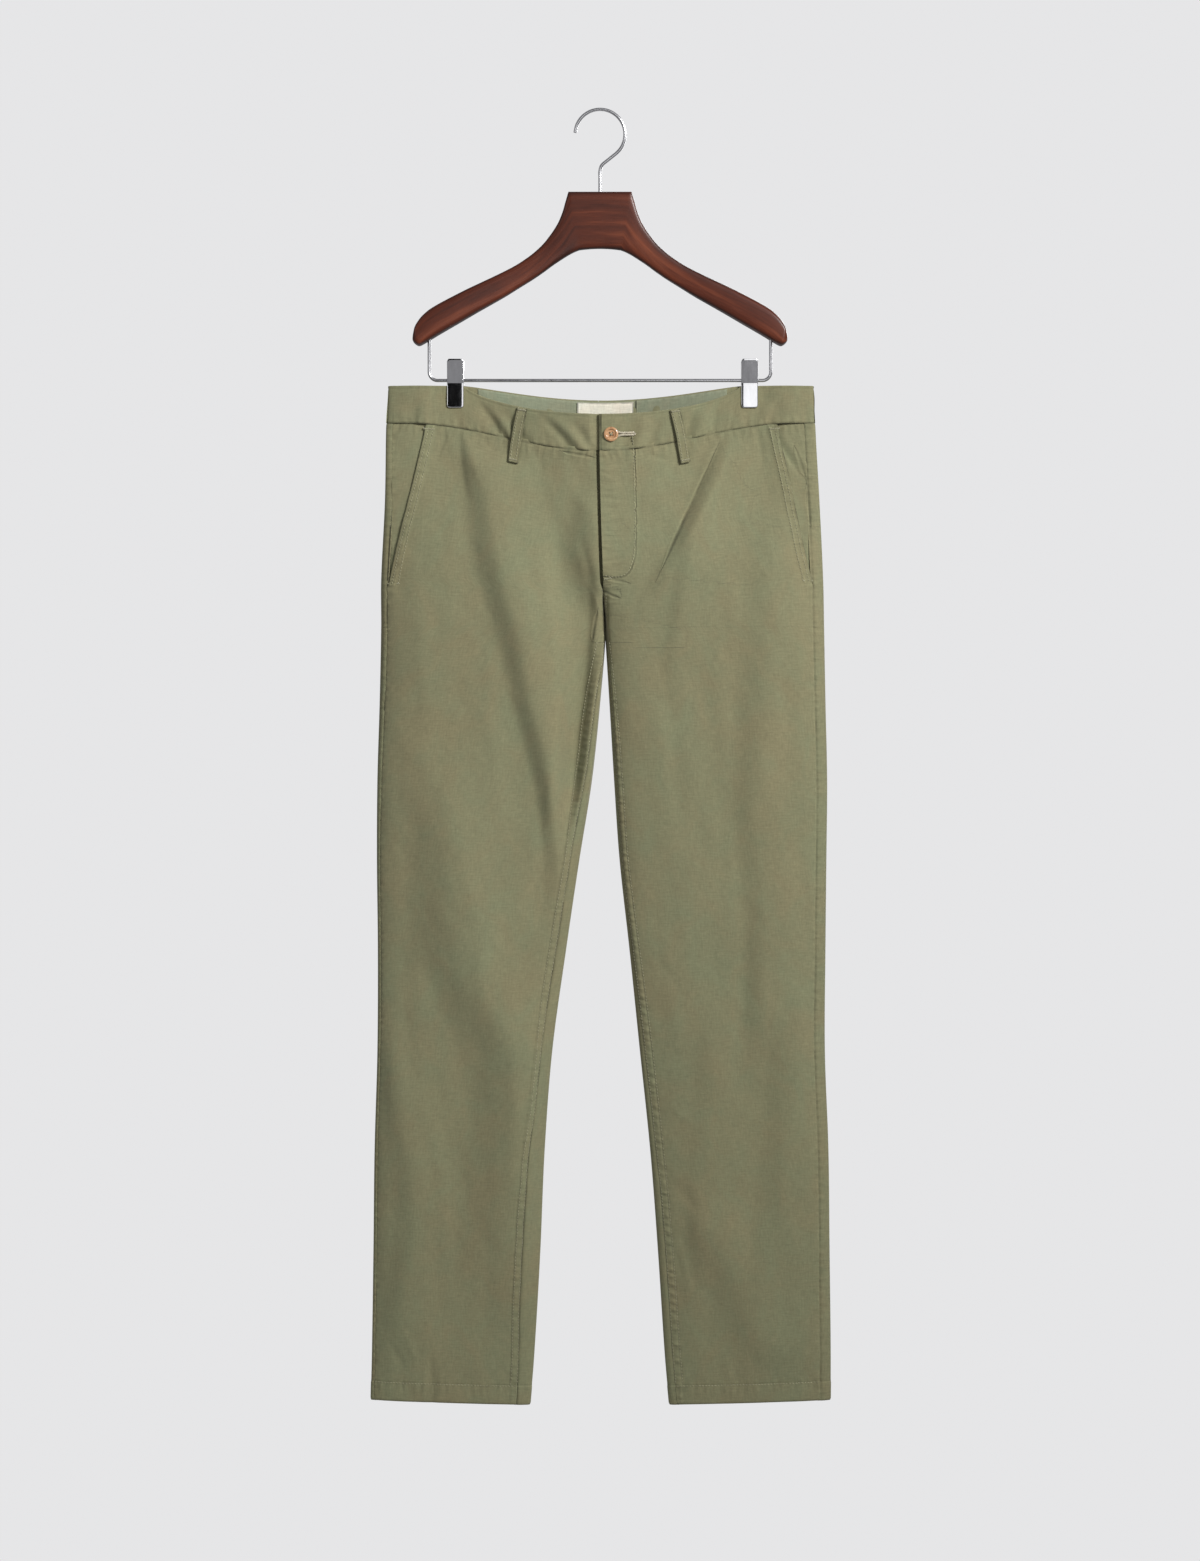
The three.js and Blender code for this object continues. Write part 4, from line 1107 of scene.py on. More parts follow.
@dataclass(frozen=True)
class ThreadFinish:
    """Sewing thread, with a fine twist."""

    name: str
    colour: tuple

    def build(self) -> bpy.types.Material:
        """Makes the material.

        Returns:
            The finished material.
        """
        bench = NodeBench(self.name)
        twist = bench.noise("Object", (2500, 2500, 2500), 2.0)
        patch = bench.noise("Object", (60, 60, 60), 2.0)
        shade = bench.math("MULTIPLY_ADD", bench.math("SUBTRACT", patch, 0.5), 0.8, twist)
        colour = bench.ramp(shade, [(0.2, scaled(self.colour, 0.72)), (0.8, scaled(self.colour, 1.25))])
        bench.join(colour, bench.shader.inputs["Base Color"])
        bench.bump(bench.math("MULTIPLY", twist, 0.0001))
        bench.sockets(Roughness=0.7, Specular_IOR_Level=0.35, Sheen_Weight=0.2)
        return bench.material


@dataclass(frozen=True)
class HornFinish:
    """Polished amber horn with cloudy brown and cream streaks."""

    pale: tuple = (0.72, 0.52, 0.34)
    amber: tuple = (0.50, 0.27, 0.125)
    brown: tuple = (0.26, 0.11, 0.045)

    def build(self) -> bpy.types.Material:
        """Makes the material.

        Returns:
            The finished material.
        """
        bench = NodeBench("amber_horn")
        cloud = bench.noise("Object", (120, 300, 190), 3.0, distortion=1.2)
        stops = [(0.3, self.brown), (0.45, self.amber), (0.58, self.amber), (0.72, self.pale)]
        colour = bench.ramp(cloud, stops)
        bench.join(colour, bench.shader.inputs["Base Color"])
        rough = bench.math("MULTIPLY_ADD", bench.noise("Object", (900, 900, 900)), 0.15, 0.22)
        bench.join(rough, bench.shader.inputs["Roughness"])
        bench.bump(bench.math("MULTIPLY", cloud, 0.00012))
        bench.sockets(Coat_Weight=0.5, Coat_Roughness=0.08)
        return bench.material


@dataclass(frozen=True)
class MahoganyFinish:
    """Red-brown stained wood under a satin varnish, with its grain along the arms, and painted shade that
    darkens its upper and lower edges.
    """

    dark: tuple = (0.030, 0.008, 0.005)
    middle: tuple = (0.088, 0.019, 0.008)
    light: tuple = (0.200, 0.050, 0.020)

    def build(self) -> bpy.types.Material:
        """Makes the material.

        Returns:
            The finished material.
        """
        bench = NodeBench("mahogany_varnished")
        figure = bench.noise("UV", (5, 90, 1), 4.0, distortion=0.8)
        pores = bench.noise("UV", (60, 1500, 1), 2.0)
        cloud = bench.noise("UV", (12, 26, 1), 2.0)
        shade = bench.math("MULTIPLY_ADD", bench.math("SUBTRACT", pores, 0.5), 0.35, figure)
        shade = bench.math("MULTIPLY_ADD", bench.math("SUBTRACT", cloud, 0.5), 0.5, shade)
        # Painted shade: darker towards the body's upper and lower edges, where the section turns from the
        # light.
        shade = bench.math("MULTIPLY_ADD", bench.mark("edge_painted_shade"), -0.30, shade)
        colour = bench.ramp(shade, [(0.18, self.dark), (0.5, self.middle), (0.85, self.light)])
        bench.join(colour, bench.shader.inputs["Base Color"])
        rough = bench.math("MULTIPLY_ADD", pores, 0.2, 0.26)
        bench.join(rough, bench.shader.inputs["Roughness"])
        bench.bump(bench.math("MULTIPLY", pores, 0.00008))
        bench.sockets(Coat_Weight=0.13, Coat_Roughness=0.18, Specular_IOR_Level=0.28)
        return bench.material


@dataclass(frozen=True)
class MetalFinish:
    """Plated steel with faint handling marks."""

    name: str
    colour: tuple
    rough: float

    def build(self) -> bpy.types.Material:
        """Makes the material.

        Returns:
            The finished material.
        """
        bench = NodeBench(self.name)
        marks = bench.noise("Object", (220, 220, 60), 3.0)
        colour = bench.ramp(marks, [(0.3, scaled(self.colour, 0.88)), (0.7, scaled(self.colour, 1.05))])
        bench.join(colour, bench.shader.inputs["Base Color"])
        rough = bench.math("MULTIPLY_ADD", marks, 0.10, self.rough - 0.05)
        bench.join(rough, bench.shader.inputs["Roughness"])
        bench.bump(bench.math("MULTIPLY", marks, 0.00002))
        bench.sockets(Metallic=1.0)
        return bench.material


@dataclass(frozen=True)
class Finishes:
    """All the materials, made once."""

    chino: bpy.types.Material
    facing: bpy.types.Material
    label: bpy.types.Material
    thread: bpy.types.Material
    pale_thread: bpy.types.Material
    horn: bpy.types.Material
    wood: bpy.types.Material
    chrome: bpy.types.Material
    wire: bpy.types.Material

    @classmethod
    def make(cls) -> "Finishes":
        """Builds every finish."""
        return cls(
            chino=TwillFinish("olive_twill", (0.218, 0.210, 0.121), lines=SEAM_SHADE_AND_STITCH_LINES).build(),
            facing=TwillFinish("green_grey_facing", (0.245, 0.262, 0.180), 0.0007, 0.06,
                               lines=SEAM_SHADE_AND_STITCH_LINES).build(),
            label=TwillFinish("cream_label_cloth", (0.74, 0.71, 0.61), 0.0005, 0.04, 0.0003,
                              SEAM_SHADE_AND_STITCH_LINES).build(),
            thread=ThreadFinish("olive_thread", (0.33, 0.315, 0.20)).build(),
            pale_thread=ThreadFinish("cream_thread", (0.66, 0.60, 0.46)).build(),
            horn=HornFinish().build(),
            wood=MahoganyFinish().build(),
            chrome=MetalFinish("bright_plate", (0.78, 0.78, 0.80), 0.07).build(),
            wire=MetalFinish("wire_plate", (0.62, 0.62, 0.64), 0.20).build(),
        )


# ---- the garment's pieces ----

@dataclass
class Stitcher:
    """Sews rows of stitches: each is a small rounded bar that lies along its row."""

    length: float = 2.5
    width: float = 0.75
    height: float = 0.5
    pitch: float = 3.3
    rows: dict[str, list[Array]] = field(default_factory=dict)

    def bars(self, path: Array, outward: Array, lean: float = 0.0) -> Array:
        """Boxes along a path, 8 corners each with the ends drawn in.

        Args:
            path: the row, in mm.
            outward: the direction off the cloth, or one for each point.
            lean: a turn in radians across the row.

        Returns:
            The corners, as (stitches, 8, 3).
        """
        centres = spaced(path, self.pitch)
        if len(centres) < 2:
            return np.zeros((0, 8, 3))
        along = np.gradient(centres, axis=0)
        along /= np.linalg.norm(along, axis=1, keepdims=True)
        out = np.broadcast_to(np.asarray(outward, float), centres.shape)
        across = np.cross(along, out)
        across /= np.linalg.norm(across, axis=1, keepdims=True)
        cosine, sine = np.cos(lean), np.sin(lean)
        along, across = (cosine * along + sine * across, cosine * across - sine * along)
        up = np.cross(across, along)
        up *= np.sign(np.sum(up * out, axis=1, keepdims=True))
        half, side, high = self.length / 2, self.width / 2, self.height
        corners = np.array([
            [-half, -side, -0.5], [half, -side, -0.5], [half, side, -0.5], [-half, side, -0.5],
            [-half * 0.62, -side * 0.7, high], [half * 0.62, -side * 0.7, high],
            [half * 0.62, side * 0.7, high], [-half * 0.62, side * 0.7, high],
        ])
        frame3 = np.stack([along, across, up], axis=1)
        return centres[:, None, :] + np.einsum("kj,njc->nkc", corners, frame3)

    def sew(self, group: str, path: Array, outward: tuple, lean: float = 0.0) -> None:
        """Adds a row to a group of stitches."""
        self.rows.setdefault(group, []).append(self.bars(np.asarray(path), np.asarray(outward, float), lean))

    def tack(self, group: str, start: Array, end: Array, outward: tuple) -> None:
        """Adds a bar tack: a short dense row of stitches that lie across it."""
        keep = self.pitch, self.length
        self.pitch, self.length = 0.7, 2.2
        path = np.linspace(start, end, 12)
        self.rows.setdefault(group, []).append(self.bars(path, np.asarray(outward, float), math.pi / 2))
        self.pitch, self.length = keep

    def finish(self, material: bpy.types.Material) -> None:
        """Makes one piece for each group.

        Args:
            material: the thread.
        """
        faces = np.array([[3, 2, 1, 0], [4, 5, 6, 7], [0, 1, 5, 4], [1, 2, 6, 5], [2, 3, 7, 6], [3, 0, 4, 7]])
        for group, rows in self.rows.items():
            corners = np.concatenate(rows)
            first, volume = corners[0], 0.0
            for a, b, c, d in faces:
                volume += float(np.dot(first[a], np.cross(first[b], first[c]) + np.cross(first[c], first[d])))
            order = faces if volume > 0 else faces[:, ::-1]
            quads = (np.arange(len(corners))[:, None, None] * 8 + order[None]).reshape(-1, 4)
            new_piece(group, corners.reshape(-1, 3) * MM, quads.tolist(), material)


@dataclass
class Leg:
    """One leg: its front, its back, the pocket's layer and the hem's turn-up."""

    side: Side
    skin: GarmentSkin
    finishes: Finishes
    columns: int = 138

    def drops(self) -> Array:
        """Drops of the rows: close at the waist and the hem."""
        hem = self.skin.form.hem_drop
        return np.concatenate([
            np.linspace(36.5, 56, 14)[:-1], np.linspace(56, 270, 82)[:-1],
            np.linspace(270, hem - 26, 150)[:-1], np.linspace(hem - 26, hem, 14),
        ])

    def shares(self, count: int) -> Array:
        """Shares from 0 to 1 that lie closer at both ends."""
        u = np.linspace(0, 1, count)
        return mix(u, u * u * (3 - 2 * u), 0.8)

    def panel(self, name: str, angles: Array, drop: Array, sink: Array, outward: tuple) -> bpy.types.Object:
        """A panel on the leg's surface that goes under the waistband at its top.

        Args:
            name: the piece's name.
            angles: the angle of each vertex.
            drop: the drop of each vertex.
            sink: how far each vertex is tucked in, in mm.
            outward: the direction that its middle faces.

        Returns:
            The new object.
        """
        form = self.skin.form
        tucked = 0.9 * (1 - smooth(form.band - 1.0, form.band + 1.2, drop)) + sink
        turned = 0.7 * smooth(form.hem_drop - 1.2, form.hem_drop, drop)
        points = self.skin.place(self.side, angles, drop, -(tucked + turned))
        marks = self.skin.puckers(self.side, angles, drop)
        return sheet_piece(name, points, 1.0, outward, self.finishes.chino, marks)

    def build(self) -> None:
        """Makes the leg's pieces."""
        form, side, word = self.skin.form, self.side, self.side.word
        drop, share = np.meshgrid(self.drops(), self.shares(self.columns), indexing="ij")
        # the front, from the pocket mouth or outseam to the fly's edge, the centre seam or the inseam
        slit = 3.1 if side is Side.RIGHT else 0.6
        slit = mix(slit, 0.0, smooth(form.fly_bottom - 8, form.fly_bottom + 8, drop))
        centre = form.angle_of(side, form.inner(side, drop) + side.value * slit, drop)
        end = np.where(drop < form.crotch_drop, centre, form.inseam(side, drop))
        angles = -mix(form.mouth(side, drop), end, share)
        front = self.panel(f"front_{word}_cloth", angles, drop, 0.0, (0, -1, 0))
        # the back, round the outer edge, over the back and round the inner edge
        seam = form.outseam(side, drop)
        start = -(seam + 2.0 * form.turn(side, -seam, drop))
        inseam = form.inseam(side, drop)
        wrapped = 2 * math.pi - inseam + 2.0 * form.turn(side, -inseam, drop)
        middle = form.angle_of(side, form.inner(side, drop), drop)
        end = np.where(drop < form.crotch_drop, middle, np.maximum(middle, wrapped))
        angles = mix(start, end, share)
        under_inseam = (angles > 2 * math.pi - inseam) & (drop > form.crotch_drop)
        tuck = np.where(angles < -seam, 1.3, 0.0) + np.where(under_inseam, 1.3, 0.0)
        back = self.panel(f"back_{word}_cloth", angles, drop, tuck, (0, 1, 0))
        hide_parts(f"front_{word}")
        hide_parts(f"back_{word}")
        self.pocket()
        self.hem()

    def pocket(self) -> None:
        """The layer that shows between the pocket mouth and the outseam."""
        form, side = self.skin.form, self.side
        rows = np.linspace(37, form.pocket_end(side) - 2, 60)
        drop, share = np.meshgrid(rows, np.linspace(0, 1, 26), indexing="ij")
        seam = form.outseam(side, drop)
        outer = form.around(side, -seam, drop, 0)[..., 0] + side.value * 1.2
        x = mix(outer, form.pocket_x(side, drop) - side.value * 9, share)
        shown = np.abs(form.pocket_x(side, drop) - outer)
        inward = smooth(0, 1, np.abs(x - outer) / np.maximum(0.8 * shown, 0.5))
        sunk = 2.0 * np.maximum(inward, 1 - smooth(4, 18, shown)) * mix(1.0, 1.5, smooth(120, 200, drop))
        sunk = sunk + 1.0 * (1 - smooth(form.band - 1, form.band + 2, drop))
        angle = -form.angle_of(side, x, drop)
        ripple = 0.35 * uneven(x, form.waist_top - drop, 16, 21)
        ripple = ripple + 0.8 * self.skin.creases(-np.ones_like(x), x, form.waist_top - drop)
        points = form.around(side, angle, drop, sunk - ripple)
        marks = self.skin.puckers(side, angle, drop)
        name = f"pocket_facing_{side.word}"
        piece = sheet_piece(name + "_cloth", points, 0.9, (0, -1, 0), self.finishes.chino, marks)
        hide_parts(name)

    def hem(self) -> None:
        """The turned-up layer inside the foot, a ring that meets the outer layer at the fold."""
        form, side = self.skin.form, self.side
        rows = np.linspace(form.hem_drop - 19, form.hem_drop - 0.1, 10)
        drop, share = np.meshgrid(rows, np.linspace(0, 1, 120, endpoint=False), indexing="ij")
        angle = share * 2 * math.pi
        inset = 1.75 - 0.35 * smooth(form.hem_drop - 3, form.hem_drop, drop)
        inset = inset - self.skin.relief(side, angle, drop)
        points = form.around(side, angle, drop, inset)
        marks = self.skin.puckers(side, angle, drop)
        name = f"hem_turn_up_{side.word}"
        outward = points[4, 60] - points.reshape(-1, 3).mean(axis=0)
        piece = sheet_piece(name + "_cloth", points, 0.9, (0, 1 if outward[1] > 0 else -1, 0),
                            self.finishes.chino, marks, loop=True)
        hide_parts(name)

    def sew(self, stitcher: Stitcher) -> None:
        """The rows of the inseam's felled seam, the pocket mouth and the hem.

        Args:
            stitcher: sews the rows.
        """
        form, side, skin = self.skin.form, self.side, self.skin
        drop = np.linspace(form.crotch_drop + 14, form.hem_drop - 21, 300)
        seam = form.inseam(side, drop)
        per = form.turn(side, -seam, drop)
        for distance in (1.8, 7.4):
            path = skin.place(side, -(seam - distance * per), drop, 0.05)
            stitcher.sew(f"inseam_stitches_{side.word}", path, (0, -1, 0))
        drop = np.linspace(form.band + 3, form.pocket_end(side) - 3, 70)
        mouth = form.mouth(side, drop)
        per = form.turn(side, -mouth, drop)
        for distance in (4.2, 9.2):
            path = skin.place(side, -(mouth + distance * per), drop, 0.05)
            stitcher.sew(f"pocket_stitches_{side.word}", path, (0, -1, 0))
        for at in (form.band + 5, form.pocket_end(side) - 4):
            level = np.full(2, at)
            mouth = form.mouth(side, level)
            reach = np.array([-1.2, 9.8]) * form.turn(side, -mouth, level)
            start, end = skin.place(side, -(mouth + reach), level, 0.2)
            stitcher.tack(f"pocket_stitches_{side.word}", start, end, (0, -1, 0))
        for face in Face:
            angle = np.linspace(0.25, math.pi - 0.25, 160) * face.value
            path = skin.place(side, angle, np.full_like(angle, form.hem_drop - 19.5), 0.05)
            stitcher.sew(f"hem_stitches_{side.word}", path, (0, face.value, 0))


@dataclass
class Waistband:
    """The waistband's two halves, the facing and blank label inside its back, and the belt loops."""

    skin: GarmentSkin
    finishes: Finishes
    columns: int = 300
    loops: tuple = (
        ("belt_loop_front_right", Face.FRONT, -81.5, -91.0),
        ("belt_loop_front_left", Face.FRONT, 78.5, 89.5),
        ("belt_loop_back_right", Face.BACK, -106.0, -109.0),
        ("belt_loop_back_left", Face.BACK, 110.0, 113.0),
        ("belt_loop_back_centre", Face.BACK, 1.0, 1.0),
    )

    def profile(self) -> tuple[Array, Array]:
        """The band's cross-section: up its outer face, over the rolled top, down inside, and under its foot.

        Returns:
            Drops and insets of the points round it.
        """
        height, thick = self.skin.form.band, self.skin.form.band_cloth
        up = np.concatenate([np.linspace(height - 0.7, 4.0, 16), np.linspace(3.2, 1.0, 4)])
        roll = np.linspace(0, math.pi, 7)[1:-1]
        drop = np.concatenate([up, 1.0 - np.sin(roll), np.linspace(1.0, height - 0.7, 14), [height, height]])
        over = thick / 2 * (1 - np.cos(roll))
        inset = np.concatenate([np.zeros(20), over, np.full(14, thick), [thick * 0.7, thick * 0.3]])
        return drop, inset

    def ripples(self, x: Array, drop: Array, face: Array) -> Array:
        """Height of the band's own ripples in mm: drawn up beside the clips and loops, with a seam on top."""
        form = self.skin.form
        z = form.waist_top - drop
        ripple = 0.6 * uneven(x, z * 0.8, 13, 31) + 1.1 * uneven(x + drop * 0.6, z * 0.4, 24, 12)
        ripple = ripple * smooth(-4, 14, drop)
        low = 2.1 * smooth(2, 22, drop)
        for at, width, height, lean in (
            (-168, 5, -0.8, -0.5), (-132, 6, -1.1, -0.7), (-118, 6, 0.8, -0.7), (-101, 7, -1.0, -0.5),
            (-66, 6, -1.2, -0.9), (-52, 6, 0.8, -0.9), (-33, 6, -0.8, -0.6), (14, 5, 0.4, 0.2),
            (34, 6, -0.6, 0.2), (50, 6, 0.7, 0.3), (64, 6, -1.1, 0.3), (100, 5, -1.0, 0.2),
            (112, 6, 0.8, 0.2), (128, 5, -0.6, 0.3),
            (146, 4, -0.5, 0.2), (180, 6, -0.8, 0.6), (200, 7, -0.9, 0.5), (-192, 8, -0.6, 0.2),
        ):
            across = bell(x + drop * lean - at, width)
            ripple = ripple + np.where(face < 0, height, 0.5 * height) * across * low
        return ripple - 0.35 * bell(drop - 3.4, 0.9) + 0.4

    def half(self, side: Side) -> None:
        """One half of the band, from the fly round the side to the centre back.

        The right half sinks at the fly and runs on under the left one as the button's underlap.

        Args:
            side: the half.
        """
        form = self.skin.form
        drop0, inset0 = self.profile()
        places = np.linspace(-1, 1, self.columns)
        edge = np.where(places < 0, 0.6 if side is Side.LEFT else 0.3, 0.15)
        drop, place = np.meshgrid(drop0, places, indexing="ij")
        inset = np.broadcast_to(inset0[:, None], drop.shape)
        most = form.angle_of(side, form.inner(side, drop) + side.value * edge[None], drop)
        angle = place * most
        base = form.around(side, angle, drop, 0)
        face = np.where(angle >= 0, 1.0, -1.0)
        calm = smooth(0.5, 7, np.abs(base[..., 0] - form.centre(drop)))
        for clip in (form.clip_right, form.clip_left):
            calm = calm * (1 - bell(base[..., 0] - clip, 11))
        lift = self.ripples(base[..., 0], drop, face) * calm
        if side is Side.RIGHT:
            sinking = np.where(face < 0, smooth(-12, -3.5, base[..., 0]), 0.0) * 3.2
            lift = lift - sinking
        points = form.around(side, angle, drop, inset - lift)
        if side is Side.RIGHT:
            d, x = np.meshgrid(drop0, np.linspace(33, 0, 24), indexing="ij")
            under = self.skin.across(Face.FRONT, x, d, inset0[:, None] + 2.4)
            points = np.concatenate([under, points], axis=1)
        name = f"waistband_{side.word}"
        x = points[..., 0]
        level = 0.5 * bell(drop0 - form.band, 9) + 0.25 * bell(drop0, 4)
        level = np.broadcast_to(level[:, None], x.shape)
        to_band = np.broadcast_to(drop0[:, None] - form.band, x.shape)
        # The edge mark draws a dark line of painted shadow along the band's front opening.
        marks = {Lines.LEVEL.value: level, Lines.UPRIGHT.value: 0.4 * bell(x, 10), Seam.BAND.value: to_band,
                 Seam.EDGE.value: np.where(points[..., 1] < 0, np.abs(x - 0.3), FAR)}
        piece = rolled_piece(name + "_cloth", points, self.finishes.chino, marks)
        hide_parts(name)

    def inside(self) -> None:
        """The facing on the inside of the back, and the blank label on it."""
        form = self.skin.form
        near = form.band_cloth + LAYER_GAP
        for name, low, high, top, bottom, gap, thick, material, slot in (
            ("waistband_facing_back", -131.0, 136.0, 1.5, 38.0, near, 0.8, self.finishes.facing, "facing"),
            ("neck_label_blank", -24.5, 36.0, 3.0, 31.0, near + 0.8 + LAYER_GAP, 0.6, self.finishes.label,
             "label"),
        ):
            drop, x = np.meshgrid(np.linspace(top, bottom, 16), np.linspace(low, high, 140), indexing="ij")
            ripple = 0.18 * uneven(x, drop, 18, 5)
            points = self.skin.across(Face.BACK, x, drop, gap + ripple)
            # The edge mark draws a dark line of painted shade along the label's edges and down the facing at
            # x = 38, with a pale stitch row beside it.
            edge = np.minimum(drop - top, np.minimum(x - low, high - x)) if high < 100 else x - 38.0
            marks = {Lines.LEVEL.value: 0.4 * bell(drop - top, 3), Lines.UPRIGHT.value: 0.7 * bell(x - 38, 3),
                     Seam.EDGE.value: edge}
            piece = sheet_piece(name + "_cloth", points, thick * 0.8, (0, -1, 0), material, marks)
            piece.modifiers["cloth"].offset = -1.0
            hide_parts(name)

    def loop_points(self, face: Face, top_x: float, bottom_x: float, share: Array, across: Array,
                    lift: Array) -> Array:
        """Points of a belt loop, lifted off the band, in mm.

        Args:
            face: the face that it is on.
            top_x: x of its top.
            bottom_x: x of its foot.
            share: the way down it, from 0 to 1.
            across: the place across it, from -1 to 1.
            lift: the height above its underside.

        Returns:
            The points.
        """
        drop = mix(1.5, 65.0, share)
        stand = 0.9 + 2.0 * np.sin(share * math.pi) ** 0.6
        x = mix(top_x, bottom_x, share) + across * 5.25
        return self.skin.across(face, x, drop, -(stand + lift))

    def belt_loops(self, stitcher: Stitcher) -> None:
        """The loops, each a strip with rounded edges, an edge stitch on both sides and a tack at each end.

        Args:
            stitcher: sews the rows.
        """
        turn = np.linspace(0, 2 * math.pi, 17)[:-1]
        wide = np.sign(np.cos(turn)) * np.abs(np.cos(turn)) ** 0.45
        high = 0.8 + 0.8 * np.sign(np.sin(turn)) * np.abs(np.sin(turn)) ** 0.6
        for name, face, top_x, bottom_x in self.loops:
            share = np.linspace(0, 1, 48)
            across, down = np.meshgrid(wide, share, indexing="ij")
            lift = np.broadcast_to(high[:, None], down.shape) * (1 + 0.5 * bell(down - 1.0, 0.05))
            groove = np.where(lift > 0.9, -0.3 * bell(np.abs(across) - 0.55, 0.16), 0.0)
            points = self.loop_points(face, top_x, bottom_x, down, across, lift + groove)
            # The edge mark draws a dark line of painted shade down both sides of each loop, with a pale
            # stitch row beside it.
            marks = {Lines.UPRIGHT.value: np.full(down.shape, 0.35), Lines.LEVEL.value: np.zeros(down.shape),
                     Seam.EDGE.value: 5.25 * (1 - np.abs(across)) + 0.2}
            piece = rolled_piece(name + "_cloth", points, self.finishes.chino, marks)
            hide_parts(name)
            outward = (0, face.value, 0)
            for place in (-0.55, 0.55):
                row = self.loop_points(face, top_x, bottom_x, np.linspace(0.05, 0.93, 40),
                                       np.full(40, place), np.full(40, 1.5))
                stitcher.sew("belt_loop_stitches", row, outward)
            for at in (0.035, 0.95):
                ends = self.loop_points(face, top_x, bottom_x, np.full(2, at), np.array([-0.8, 0.8]),
                                        np.full(2, 1.8))
                stitcher.tack("belt_loop_stitches", ends[0], ends[1], outward)

    def build(self, stitcher: Stitcher) -> None:
        """Makes all of the band's pieces.

        Args:
            stitcher: sews the loops.
        """
        for side in Side:
            self.half(side)
        self.inside()
        self.belt_loops(stitcher)


